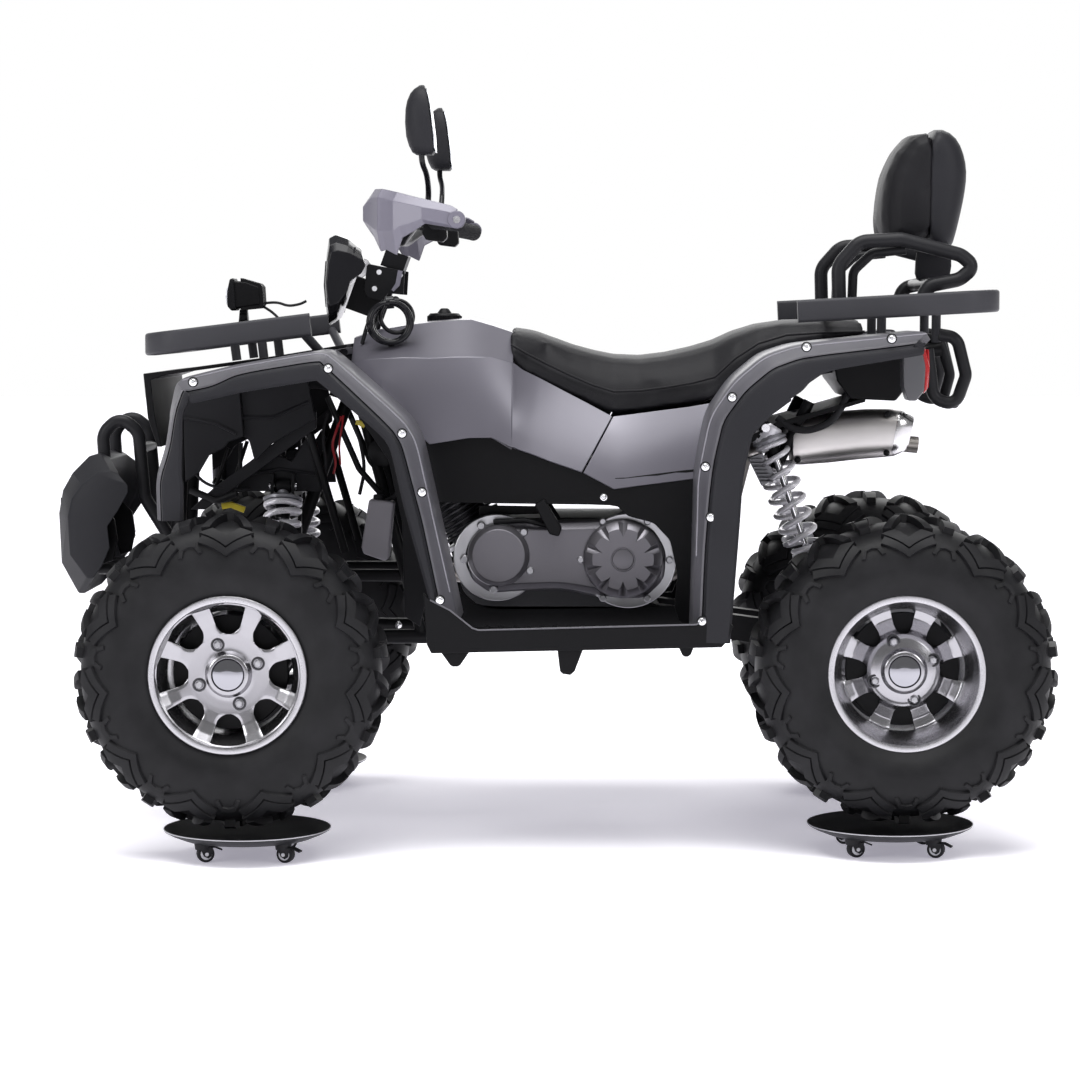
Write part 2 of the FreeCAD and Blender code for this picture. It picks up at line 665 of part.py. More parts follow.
def footwell():
    """Left floor board with a raised outer sill and four lugs below."""
    wall = size("floor_wall")
    board = side_plate([(395, 392), (395, 392 + wall), (880, 392 + wall), (880, 392)], -470, -205)
    sill = side_plate([(420, 376), (420, 416), (860, 416), (860, 376)], -482, -470)
    lugs = [side_plate([(back - 14, 392), (back + 14, 392), (back + 9, 350), (back - 5, 350)], -470, -452)
            for back in (440, 612, 835)]
    return joined([board, sill] + lugs)


node("tank_cover", tank_cover())
node("seat", seat())
footwell_left = footwell()
front_fender = fender(FENDER_FRONT, 232).cut(footwell_left)
rear_fender = fender(FENDER_REAR, 192).cut(footwell_left)
node("footwells", both_sides(footwell_left))
node("front_fenders", both_sides(front_fender))
node("rear_fenders", both_sides(rear_fender))
panels = [panel.cut(rear_fender) for panel in side_panel()]
node("side_panels", Part.makeCompound(panels + [mirrored(panel) for panel in panels]))
node("lower_panels", both_sides(lower_panel().cut(rear_fender)))


def flat_rail(points, height, width, bend):
    """Bent bar of rectangular section, its tall side upright."""
    path = bent_path(points, bend)
    way = (points[1] - points[0]).normalize()
    across = Vector(0, 0, 1).cross(way).normalize() * (width / 2)
    up = Vector(0, 0, height / 2)
    start = points[0]
    wire = polygon([start + across + up, start - across + up, start - across - up, start + across - up])
    return path.makePipeShell([wire], True, True)


def front_rack():
    """Flat-bar loop round the nose with two cross tubes and four posts."""
    rack = size("rack_half")
    loop = flat_rail([at(130, -rack, 972), at(-160, -rack, 940), at(-160, rack, 940), at(130, rack, 972)],
                     size("rack_bar_height"), size("rack_bar_width"), 70)
    pieces = [loop]
    for back, height in ((-30, 954), (60, 964)):
        pieces.append(rod(at(back, -rack + 4, height), at(back, rack - 4, height), 9))
        for side in (-150, 150):
            pieces.append(rod(at(back, side, height), at(back + 8, side, 912 if back < 0 else 924), 9))
    for side in (-110, 110):
        pieces.append(rod(at(-156, side, 942), at(60, side, 964), 8))
    return joined(pieces)


def rear_rack():
    """Flat-bar loop behind the seat with three cross tubes on the seat rails' risers."""
    rack = size("rack_half")
    loop = flat_rail([at(1040, -rack, 1002), at(1410, -rack, 1022), at(1410, rack, 1022), at(1040, rack, 1002)],
                     size("rack_bar_height"), size("rack_bar_width"), 70)
    pieces = [loop]
    for back, height in ((1110, 1006), (1215, 1012), (1320, 1017)):
        pieces.append(rod(at(back, -rack + 4, height), at(back, rack - 4, height), 9))
    for back, low_height in ((1215, 930), (1320, 942)):
        for side in (-half, half):
            pieces.append(rod(at(back, side, 1012), at(back, side, low_height), 9))
    for side in (-180, -60, 60, 180):
        pieces.append(rod(at(1110, side, 1006), at(1404, side, 1022), 7))
    return joined(pieces).cut(doc.getObject("frame").Shape)


def nose_cowl():
    """Front panel and deck between the wheel guards, open round the steering column."""
    outline = [(-192, 886), (-184, 800), (-166, 745), (-160, 745), (-174, 800), (-182, 870), (-150, 880), (60, 910),
               (193, 934), (193, 940), (60, 917), (-150, 888)]
    sheet_piece = side_plate(outline, -228, 228)
    slot = rod(column_foot, column_foot + column_way * 700, size("column_tube") / 2 + 12)
    return sheet_piece.cut(slot)


def bumper_guard():
    """Faceted moulded guard ahead of the frame."""
    outline = [(-378, 611), (-376, 651), (-350, 690), (-318, 722), (-296, 726), (-276, 716), (-274, 690), (-295, 631),
               (-315, 582), (-311, 513), (-328, 454), (-342, 454), (-374, 513)]
    wide = side_plate(outline, -105, 105)
    wings = []
    for side in (-1, 1):
        inner = polygon([at(back, side * 105, height) for back, height in outline])
        outer = polygon([at(back + 26, side * 168, 600 + (height - 600) * 0.72) for back, height in outline])
        wings.append(Part.makeLoft([inner, outer], True, True))
    return joined([wide] + wings).cut(hoop)


def bumper_hoop():
    """Two bent side tubes, a top cross tube and the stays to the frame."""
    side = 74
    loop = tube([at(-292, -side, 700), at(-296, -side, 765), at(-262, -side, 795), at(-226, -side, 768), at(-215, -side, 640),
                 at(-166, -side, 560)], 25, 32)
    stay = rod(at(-306, -side, 500), at(-150, -side, 500), 11)
    cross = rod(at(-222, -side, 735), at(-222, side, 735), 11)
    whole = joined([loop, stay, mirrored(loop), mirrored(stay), cross])
    return whole.cut(doc.getObject("frame").Shape)


def backrest():
    """Padded rest: outline in side view, narrower towards its sides."""
    pad = [(1217, 1141), (1217, 1222), (1225, 1271), (1244, 1310), (1274, 1340), (1303, 1350), (1308, 1240), (1301, 1137)]
    sections = []
    for side, shrink in ((-128, 0.72), (-110, 0.9), (-60, 1.0), (60, 1.0), (110, 0.9), (128, 0.72)):
        sections.append(polygon([at(1305 + (back - 1305) * shrink, side, 1240 + (height - 1240) * (0.6 + 0.4 * shrink))
                                 for back, height in pad]))
    return Part.makeLoft(sections, True, True)


def backrest_shell():
    """Moulded back of the rest with its bracket down to the grab bars."""
    shell = [(1310, 1352), (1333, 1353), (1368, 1336), (1384, 1271), (1372, 1192), (1353, 1113), (1306, 1133), (1312, 1240)]
    sections = []
    for side, shrink in ((-126, 0.55), (-100, 0.9), (100, 0.9), (126, 0.55)):
        sections.append(polygon([at(1310 + (back - 1310) * shrink, side, 1240 + (height - 1240) * (0.6 + 0.4 * shrink))
                                 for back, height in shell]))
    bracket = box_between(at(1316, -34, 1052), at(1336, 34, 1150))
    return joined([Part.makeLoft(sections, True, True), bracket]).cut(bars)


def grab_bars():
    """Looped hand rail on each side of the rest, joined by a cross tube."""
    side = 236
    rail = tube([at(1124, -side, 1016), at(1122, -side, 1088), at(1162, -side, 1132), at(1240, -side, 1136), at(1352, -side, 1106),
                 at(1376, -side, 1086), at(1350, -side, 1062), at(1290, -side, 1050), at(1280, -side, 1022)], 26, 30)
    cross = rod(at(1306, -side, 1055), at(1306, side, 1055), 11)
    return joined([rail, mirrored(rail), cross])


def rear_bumper():
    """Two upright loops behind the seat rails and a low cross tube."""
    loop = tube([at(1322, -150, 958), at(1356, -150, 952), at(1372, -150, 880), at(1352, -150, 822), at(1310, -150, 838),
                 at(1300, -150, 930)], 24, 26)
    stay = rod(at(1300, -150, 925), at(1300, -half, 925), 9)
    cross = rod(at(1352, -150, 826), at(1352, 150, 826), 9)
    return joined([loop, mirrored(loop), stay, mirrored(stay), cross]).cut(doc.getObject("frame").Shape)


def tail_lamp():
    """Left tail lamp: a lens in a housing under the rear guard's end."""
    housing = side_plate([(1236, 948), (1270, 948), (1262, 838), (1240, 842)], -392, -322)
    lens = side_plate([(1271, 935), (1281, 928), (1276, 850), (1263, 846)], -386, -328)
    return joined([housing.cut(rear_fender), lens])


def spot_lamp():
    """Work lamp on the rack's front cross tube."""
    body = side_plate([(-57, 1042), (-50, 1066), (-22, 1064), (10, 1052), (12, 1010), (-44, 1003), (-57, 1012)], -34, 34)
    foot = box_between(at(-40, -14, 964), at(-12, 14, 1005))
    return joined([body, foot])


def wheel_dolly(hub_x, side):
    """Round dished plate on four swivel casters."""
    height = size("dolly_plate_height")
    wall = size("dolly_plate_wall")
    rim_radius = size("dolly_plate_radius")
    dish = [(0, height - wall), (rim_radius - 26, height - wall), (rim_radius - 6, height + 3), (rim_radius, height + 3),
            (rim_radius, height + 7), (rim_radius - 10, height + 7), (rim_radius - 30, height), (0, height)]
    wire = polygon([Vector(radius, 0, z) for radius, z in dish])
    pieces = [Part.Face(wire).revolve(Vector(0, 0, 0), Vector(0, 0, 1), 360)]
    roller = size("caster_radius")
    for index in range(4):
        angle = math.radians(45 + 90 * index)
        x = size("caster_circle") * math.cos(angle)
        y = size("caster_circle") * math.sin(angle)
        wheel = Part.makeCylinder(roller, size("caster_width"), Vector(x, y - size("caster_width") / 2, roller), Vector(0, 1, 0))
        hood = Part.makeBox(26, size("caster_width") + 8, height - wall - roller - 2,
                            Vector(x - 13, y - size("caster_width") / 2 - 4, roller + 4))
        top = Part.makeCylinder(14, 6, Vector(x, y, height - wall - 5))
        pieces += [wheel, hood, top]
    dolly = joined(pieces)
    dolly.translate(Vector(hub_x, side, 0))
    return dolly


fuel_cap = rod(at(368, 0, 970), at(368, 0, 1002), 32)
hoop = bumper_hoop()
bars = grab_bars()
coolant_box = box_between(at(222, -212, 532), at(282, -150, 640))
node("nose_cowl", nose_cowl())
node("fuel_cap", fuel_cap.cut(doc.getObject("tank_cover").Shape))
node("bumper_guard", bumper_guard())
node("bumper_hoop", hoop)
node("backrest_pad", backrest())
node("backrest_shell", backrest_shell())
node("grab_bars", bars)
node("rear_bumper", rear_bumper())
node("tail_lamps", both_sides(tail_lamp()))
node("spot_lamp", spot_lamp())
node("coolant_bottle", coolant_box)
node("exhaust", exhaust())
node("wheel_dollies", Part.makeCompound(
    [wheel_dolly(front_axle_x + 24, side * (size("front_half_track") - 18)) for side in (-1, 1)]
    + [wheel_dolly(rear_axle_x - 20, side * size("rear_half_track")) for side in (-1, 1)]))
coil = Part.makeTorus(35, 11, at(272, -166, 981), Vector(0, 1, 0))
node("cable_coil", coil)

# Steering: column, bar, lamp pod, guards and mirrors turn together


def in_column(shape):
    """Places a shape made on the column's own axis, its foot at the origin."""
    shape.Placement = Placement(column_foot, column_turn)
    return shape


COLUMN_TOP = 743
PITMAN_REACH = 80
PITMAN_HALF = 28
column_rod = Part.makeCylinder(size("column_tube") / 2, COLUMN_TOP)
pitman = Part.Face(polygon([Vector(16, -18, 0), Vector(16, 18, 0), Vector(-PITMAN_REACH - 14, PITMAN_HALF + 14, 0),
                            Vector(-PITMAN_REACH - 14, -PITMAN_HALF - 14, 0)])).extrude(Vector(0, 0, 8))
clamp = Part.makeBox(46, 84, 34, Vector(-26, -42, COLUMN_TOP - 14))
head_block = Part.makeBox(66, 76, 66, Vector(-62, -38, COLUMN_TOP - 116))
node("steering_column", in_column(joined([column_rod, pitman, head_block, clamp])))
BAR_PATH = [(282, 0, 1140), (290, -64, 1141), (326, -178, 1176), (366, -256, 1172), (372, -268, 1171)]
GRIP_START = (366, -258, 1172)
GRIP_END = (411, -388, 1165)
bar_half = tube([at(*point) for point in BAR_PATH[:-1]], size("handlebar_tube"), 60)
switch_block = rod(at(346, -222, 1174), at(358, -248, 1172), 24)
lever = tube([at(336, -226, 1168), at(312, -246, 1166), at(322, -300, 1160), at(345, -372, 1154)], 9, 24)
lever_root = rod(at(350, -232, 1172), at(334, -224, 1168), 9)
bar_side = joined([bar_half, switch_block, lever_root, lever])
bar = joined([bar_side, mirrored(bar_side)])
node("handlebar", bar.cut([doc.getObject("steering_column").Shape]))
grip = rod(at(*GRIP_START), at(*GRIP_END), size("grip_diameter") / 2)
node("grips", both_sides(grip.cut(bar_side)))


def hand_guard():
    """Left guard: a folded shell from the bar's end round the front of the hand."""
    wall = 6
    wires = []
    for back, side, low, high in ((234, -285, 1173, 1203), (262, -345, 1110, 1228), (300, -372, 1110, 1221),
                                  (349, -392, 1166, 1207), (404, -398, 1154, 1190)):
        wires.append(polygon([at(back, side, low), at(back, side, high), at(back + 3, side + wall, high),
                              at(back + 3, side + wall, low)]))
    shell = Part.makeLoft(wires, True, True)
    end_plug = rod(at(411, -388, 1165), at(412, -402, 1164), 15)
    return joined([shell, end_plug]).cut(grip)


node("hand_guards", both_sides(hand_guard()))


def lamp_pod():
    """Headlamp pod: a faceted housing with a lens band down its front."""
    outline = [(133, 1072), (144, 1150), (156, 1156), (214, 1100), (206, 1026), (190, 985), (172, 989), (138, 975)]
    sections = []
    for side, shrink in ((-84, 0.62), (-58, 0.92), (58, 0.92), (84, 0.62)):
        sections.append(polygon([at(178 + (back - 178) * shrink, side, 1068 + (height - 1068) * shrink)
                                 for back, height in outline]))
    return Part.makeLoft(sections, True, True).cut(doc.getObject("steering_column").Shape)


node("headlamp", lamp_pod())


def mirror_piece():
    """Left mirror: stem from the bar and an upright head."""
    stem = tube([at(352, -236, 1190), at(352, -246, 1225), at(344, -296, 1262), at(341, -330, 1300)], 10, 30)
    foot = rod(at(351, -234, 1172), at(352, -236, 1204), 11)
    wires = []
    for turn, wide, thick in ((0, 0.55, 8), (0.25, 0.95, 12), (0.75, 1.0, 12), (1, 0.5, 8)):
        low = at(338 + 8 * turn, -330, 1288 + 128 * turn)
        lean = Vector(-18 * turn, 0, 0)
        wires.append(polygon([low + lean + Vector(-thick, -44 * wide, 0), low + lean + Vector(-thick, 44 * wide, 0),
                              low + lean + Vector(thick, 44 * wide, 0), low + lean + Vector(thick, -44 * wide, 0)]))
    head = Part.makeLoft(wires, True, True)
    return joined([stem, foot, head]).cut(doc.getObject("handlebar").Shape)


node("mirrors", both_sides(mirror_piece()))

# Tie rods: hinged on the column's foot arm, their outer eyes just above the steering arms

TIE_OUTER_Z = steer_arm_z + 11 + 12 + 8


def tie_rod(label, side):
    """Rod with an eye on the foot arm and another above the knuckle's steering arm."""
    pin = column_turn.multVec(Vector(-PITMAN_REACH, side * PITMAN_HALF, 0)) + column_foot
    eye_centre = pin - column_way * (2 + 8)
    inner = rod(eye_centre - column_way * 8, eye_centre + column_way * 8, 12)
    outer_centre = Vector(front_axle_x + steer_arm_back, side * steer_arm_half, TIE_OUTER_Z)
    outer = rod(outer_centre - Vector(0, 0, 8), outer_centre + Vector(0, 0, 8), 13)
    bar = rod(eye_centre, outer_centre, 6.5)
    return node(label, joined([bar, inner, outer]))


tie_rod("tie_rod_left", -1)
tie_rod("tie_rod_right", 1)

node("front_rack", front_rack())
node("rear_rack", rear_rack())

doc.recompute()
os.makedirs("parts", exist_ok=True)
for old in os.listdir("parts"):
    os.remove(os.path.join("parts", old))
for part in nodes:
    if part.Shape.isNull() or not part.Shape.isValid():
        raise RuntimeError(f"{part.Label} has no sound shape")
    print(part.Label, len(part.Shape.Solids), round(part.Shape.Volume / 1000), "cm3")
    part.Shape.exportStep(os.path.join("parts", part.Label + ".step"))
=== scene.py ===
import bmesh
import bpy
import json
import math
import numpy as np
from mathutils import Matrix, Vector


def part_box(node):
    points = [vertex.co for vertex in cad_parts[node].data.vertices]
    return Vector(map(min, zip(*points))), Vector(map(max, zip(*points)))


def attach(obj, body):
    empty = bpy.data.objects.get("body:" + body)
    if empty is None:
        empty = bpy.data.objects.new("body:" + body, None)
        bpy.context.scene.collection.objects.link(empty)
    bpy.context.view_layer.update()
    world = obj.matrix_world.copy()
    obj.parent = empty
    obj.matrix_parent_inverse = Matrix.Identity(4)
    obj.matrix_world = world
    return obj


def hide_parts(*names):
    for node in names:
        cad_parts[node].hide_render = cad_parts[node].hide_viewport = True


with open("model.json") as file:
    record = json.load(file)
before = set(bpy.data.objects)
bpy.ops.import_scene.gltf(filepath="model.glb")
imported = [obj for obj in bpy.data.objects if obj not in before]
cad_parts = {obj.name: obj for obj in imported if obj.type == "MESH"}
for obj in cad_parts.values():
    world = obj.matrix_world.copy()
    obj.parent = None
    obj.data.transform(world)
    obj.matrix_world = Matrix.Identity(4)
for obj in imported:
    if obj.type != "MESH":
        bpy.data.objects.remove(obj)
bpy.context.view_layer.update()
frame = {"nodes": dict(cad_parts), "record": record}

MM = 0.001


def node_box(node):
    """Lowest and highest corner of a construction node, in millimetres."""
    low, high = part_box(node)
    return np.array(low) / MM, np.array(high) / MM


def node_middle(node):
    """Middle of a construction node's box, in millimetres."""
    low, high = node_box(node)
    return (low + high) / 2


FRONT_HUB = node_middle("front_tyre_left")
FRONT_RADIUS, FRONT_WIDTH = 290.0, 182.0
REAR_RADIUS, REAR_WIDTH = 287.0, 250.0


def at(back, side, height):
    """Point of the machine in millimetres: distance behind the front axle, to the right, above the floor."""
    return np.stack(np.broadcast_arrays(FRONT_HUB[0] + np.asarray(back, float), side, height), -1)


def placed(points):
    """Points given as (back, side, height)."""
    return at(*np.asarray(points, float).T)


def full_turn(steps):
    """Angles of a full turn in even steps, without its end."""
    return np.linspace(0, 2 * math.pi, steps, endpoint=False)


def unit(way):
    """A direction with its length made 1."""
    return np.asarray(way, float) / np.linalg.norm(way)


# Materials


class Value:
    """A number that varies over a surface; arithmetic on it adds Math nodes."""

    def __init__(self, finish, socket):
        self.finish = finish
        self.socket = socket

    def maths(self, operation, first, second):
        """Adds the Math node of an operation."""
        return self.finish.make("ShaderNodeMath", {"operation": operation}, {0: first, 1: second})

    def __add__(self, other):
        return self.maths("ADD", self, other)

    def __mul__(self, other):
        return self.maths("MULTIPLY", self, other)

    __radd__ = __add__
    __rmul__ = __mul__

    def ramp(self, low, high):
        """0 below low, 1 above high and a straight rise between them."""
        return self.finish.make("ShaderNodeMapRange", {"clamp": True},
                                {"Value": self, "From Min": low, "From Max": high})


def opaque(colour):
    """A plain colour with its fourth number; a varying one as it is."""
    return colour if isinstance(colour, Value) else (*colour, 1)


class Finish:
    """Material of one finish: a shader with fixed sockets, and the nodes that vary them."""

    def __init__(self, name, colour, roughness, metallic=0.0, **fixed):
        self.material = bpy.data.materials.new(name)
        self.material.use_nodes = True
        self.nodes = self.material.node_tree.nodes
        self.links = self.material.node_tree.links
        self.shader = self.nodes["Principled BSDF"]
        self.set("Base Color", (*colour, 1))
        self.set("Roughness", roughness)
        self.set("Metallic", metallic)
        for socket, value in fixed.items():
            self.set(socket.replace("_", " "), value)
        self.place = self.make("ShaderNodeTexCoord", {}, {}, "Object")

    def make(self, kind, settings=None, sockets=None, output=0):
        """Adds one node: its settings first, then the values or links of its sockets."""
        made = self.nodes.new(kind)
        for name, value in (settings or {}).items():
            setattr(made, name, value)
        for name, value in (sockets or {}).items():
            if isinstance(value, Value):
                self.links.new(value.socket, made.inputs[name])
            else:
                made.inputs[name].default_value = value
        return Value(self, made.outputs[output])

    def set(self, socket, value):
        """Sets a socket of the shader, or links what varies to it."""
        if isinstance(value, Value):
            self.links.new(value.socket, self.shader.inputs[socket])
        else:
            self.shader.inputs[socket].default_value = value

    def noise(self, scale, detail=2.0, roughness=0.5, stretch=None):
        """Cloudy value around one half; scale is in waves per metre."""
        place = self.place
        if stretch:
            place = self.make("ShaderNodeMapping", {}, {"Vector": self.place, "Scale": stretch})
        return self.make("ShaderNodeTexNoise", {},
                         {"Vector": place, "Scale": scale, "Detail": detail, "Roughness": roughness}, "Fac")

    def mix(self, share, first, second):
        """Colour between two colours by a varying share."""
        return self.make("ShaderNodeMix", {"data_type": "RGBA"},
                         {0: share, 6: opaque(first), 7: opaque(second)}, 2)

    def bump(self, height, strength, depth):
        """Bump from a varying height; depth is in metres."""
        self.set("Normal", self.make("ShaderNodeBump", {}, {"Height": height, "Strength": strength,
                                                            "Distance": depth}, "Normal"))


def tone(colour, share):
    """A colour made darker or lighter."""
    return tuple(channel * share for channel in colour)


def coated(name, colour, roughness, grain, depth, spread=0.25, metallic=0.0, **fixed):
    """Plain coat with a fine grain, slow changes of tone and uneven gloss."""
    if max(colour) < 0.05:
        fixed.setdefault("Specular_IOR_Level", 0.13)
    finish = Finish(name, colour, roughness, metallic, **fixed)
    clouds = finish.noise(9, 3)
    fine = finish.noise(grain, 2)
    finish.set("Base Color", finish.mix(clouds, tone(colour, 1 - spread), tone(colour, 1 + spread)))
    finish.set("Roughness", roughness - 0.08 + clouds * 0.1 + fine * 0.06)
    finish.bump(fine, 0.35, depth)
    return finish.material


def metal(name, colour, roughness, brushing=(1, 1, 1), grain=400, spread=0.1, **fixed):
    """Bare metal with fine brushing along one way and faint stains."""
    finish = Finish(name, colour, roughness, 1.0, **fixed)
    stains = finish.noise(14, 3)
    scratches = finish.noise(grain, 2, stretch=brushing)
    finish.set("Base Color", finish.mix(stains, tone(colour, 1 - 1.6 * spread),
                                        tone(colour, 1 + 0.6 * spread)))
    finish.set("Roughness", roughness - 0.8 * spread + (stains + scratches) * spread)
    finish.bump(scratches, 0.25 * min(1, spread * 8), 0.0002)
    return finish.material


def tyre_rubber():
    """Satin rubber, a little dusty in the hollows, with fine moulding texture."""
    finish = Finish("tyre_rubber", (0.018, 0.018, 0.02), 0.55, Specular_IOR_Level=0.22)
    dust = finish.noise(18, 4)
    fine = finish.noise(900, 2)
    finish.set("Base Color", finish.mix(dust.ramp(0.4, 0.8), (0.005, 0.005, 0.006), (0.012, 0.0118, 0.0135)))
    finish.set("Roughness", 0.46 + dust * 0.18)
    finish.bump(fine * 0.6 + dust * 0.4, 0.3, 0.0006)
    return finish.material


MATERIALS = {
    "tyre": tyre_rubber(),
    "rim": metal("polished_rim", (0.46, 0.455, 0.475), 0.27, grain=900, spread=0.02),
    "steel_black": coated("black_powder_coat", (0.006, 0.006, 0.007), 0.42, 700, 0.0003),
    "paint_grey": coated("grey_panel_paint", (0.13, 0.125, 0.15), 0.34, 1200, 0.0001, 0.06, 0.35,
                         Coat_Weight=0.35, Coat_Roughness=0.25),
    "plastic_black": coated("moulded_black_plastic", (0.017, 0.017, 0.020), 0.48, 650, 0.0005),
    "plastic_gloss": coated("gloss_black_plastic", (0.008, 0.008, 0.01), 0.22, 90, 0.00005, Coat_Weight=0.25),
    "seat_cover": coated("seat_vinyl", (0.010, 0.0098, 0.0115), 0.5, 480, 0.0011),
    "engine_metal": coated("engine_casting", (0.20, 0.20, 0.215), 0.38, 420, 0.0006, 0.2, 0.75),
    "spring": metal("silver_spring", (0.78, 0.78, 0.8), 0.3),
    "steel": metal("bare_steel", (0.42, 0.42, 0.44), 0.34),
    "silencer": metal("brushed_silencer", (0.62, 0.60, 0.59), 0.32, (1, 12, 12), 90),
    "tail_lens": coated("red_tail_lens", (0.35, 0.008, 0.01), 0.12, 200, 0.0003, Coat_Weight=0.8),
    "rubber": coated("ribbed_rubber", (0.02, 0.02, 0.022), 0.6, 500, 0.0006),
}

BLACK_STEEL = MATERIALS["steel_black"]
HOSE_RUBBER = MATERIALS["rubber"]
BARE_STEEL = MATERIALS["steel"]
TAIL_RED = MATERIALS["tail_lens"]
GLOSS_BLACK = MATERIALS["plastic_gloss"]
PAINT = MATERIALS["paint_grey"]
VINYL = MATERIALS["seat_cover"]

for part in frame["record"]["subparts"]:
    node = frame["nodes"][part["node"]]
    node.data.materials.clear()
    node.data.materials.append(MATERIALS[part["material_slot"]])

# Surfaces: points in millimetres with faces as arrays of point numbers


def grid(points, loop_rows=False, loop_columns=False, cap_rows=False):
    """Quads over a grid of points; rows or columns may run round, and the end rows may be capped."""
    rows, columns = points.shape[:2]
    index = np.arange(rows * columns).reshape(rows, columns)
    ends = [index[0][::-1][None], index[-1][None]] if cap_rows else []
    if loop_rows:
        index = np.vstack([index, index[:1]])
    if loop_columns:
        index = np.hstack([index, index[:, :1]])
    quads = np.stack([index[:-1, :-1], index[:-1, 1:], index[1:, 1:], index[1:, :-1]], -1).reshape(-1, 4)
    return points.reshape(-1, 3), [quads] + ends


def merged(surfaces):
    """One surface from several."""
    points = []
    faces = []
    count = 0
    for surface_points, surface_faces in surfaces:
        points.append(surface_points)
        faces += [face + count for face in surface_faces]
        count += len(surface_points)
    return np.concatenate(points), faces


def outward(surface):
    """The surface with its faces turned out, judged by the volume that it holds."""
    points, faces = surface
    volume = 0.0
    for face in faces:
        corner = points[face]
        for step in range(1, face.shape[1] - 1):
            volume += np.einsum("ij,ij->", corner[:, 0], np.cross(corner[:, step], corner[:, step + 1]))
    return surface if volume > 0 else (points, [face[:, ::-1] for face in faces])


def flipped(surface):
    """The surface on the other side of the machine."""
    points, faces = surface
    return points * (1, -1, 1), [face[:, ::-1] for face in faces]


def both(surface):
    """The surface and its mirror image."""
    return merged([surface, flipped(surface)])


def capped(rows):
    """Closed form over rows of points: each row runs round, and the first and the last row are capped."""
    return outward(grid(np.asarray(rows), loop_columns=True, cap_rows=True))


def ring_form(rows):
    """Closed form over rows of points that run round both ways, as a ring does."""
    return outward(grid(rows, loop_rows=True, loop_columns=True))


def pairs(surfaces):
    """Each surface with its mirror image."""
    return [both(surface) for surface in surfaces]


def piece(name, surfaces, material, body, slot, replaced=(), bevel=0.0, smooth=35, subdivide=0, wall=0.0,
          weld=False):
    """Makes the mesh of a piece from its surfaces, finishes its edges and hangs it on its body."""
    points, faces = merged(surfaces)
    corners = np.concatenate([face.ravel() for face in faces])
    sizes = np.concatenate([np.full(len(face), face.shape[1]) for face in faces])
    mesh = bpy.data.meshes.new(name)
    mesh.vertices.add(len(points))
    mesh.vertices.foreach_set("co", (points * MM).ravel())
    mesh.loops.add(len(corners))
    mesh.loops.foreach_set("vertex_index", corners.astype(np.int32))
    mesh.polygons.add(len(sizes))
    mesh.polygons.foreach_set("loop_start", (np.cumsum(sizes) - sizes).astype(np.int32))
    mesh.polygons.foreach_set("use_smooth", np.ones(len(sizes), bool))
    mesh.update(calc_edges=True)
    mesh.validate()
    if weld:
        joint = bmesh.new()
        joint.from_mesh(mesh)
        bmesh.ops.remove_doubles(joint, verts=joint.verts, dist=0.05 * MM)
        bmesh.ops.recalc_face_normals(joint, faces=joint.faces)
        joint.to_mesh(mesh)
        joint.free()
    mesh.set_sharp_from_angle(angle=math.radians(smooth))
    mesh.materials.append(material)
    made = bpy.data.objects.new(name, mesh)
    bpy.context.scene.collection.objects.link(made)
    if wall:
        shell = made.modifiers.new("wall", "SOLIDIFY")
        shell.thickness = wall * MM
        shell.offset = 0
    if bevel:
        edge = made.modifiers.new("edge", "BEVEL")
        edge.width = bevel * MM
        edge.segments = 2
        edge.limit_method = "ANGLE"
        edge.angle_limit = math.radians(smooth)
        edge.harden_normals = True
    if subdivide:
        round_off = made.modifiers.new("round", "SUBSURF")
        round_off.levels = subdivide
        round_off.render_levels = subdivide
    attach(made, body)
    if replaced:
        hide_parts(*replaced)
    return made


def on_chassis(name, surfaces, material, slot, *nodes, **finish):
    """A piece that belongs to the chassis and stands for the named nodes."""
    return piece(name, surfaces, material, "chassis", slot, nodes, **finish)


def on_steering(name, surfaces, material, slot, *nodes, **finish):
    """A piece that turns with the handlebar and stands for the named nodes."""
    return piece(name, surfaces, material, "steering", slot, nodes, **finish)


def turned(profile, hub, steps=96):
    """Surface of revolution about an axle along Y: a point of the profile at side s and radius r goes
    round to (hub x + r sin a, s, hub z + r cos a); profiles are closed loops."""
    profile = np.asarray(profile, float)
    angle = full_turn(steps)[:, None]
    side = np.broadcast_to(profile[:, 0], (steps, len(profile)))
    points = np.stack([hub[0] + profile[:, 1] * np.sin(angle), side,
                       hub[2] + profile[:, 1] * np.cos(angle)], -1)
    return ring_form(points)


def squared(wave, power):
    """A sine or cosine raised to a power with its sign kept, which draws a circle out towards a square."""
    return np.sign(wave) * np.abs(wave) ** power


# Tyres

TYRE_BEAD = 143.0
TREAD_DEPTH = 15.0
LUG_UNITS = 11
LUG_FOOT = 3.0
LUG_FLARE = 1.06


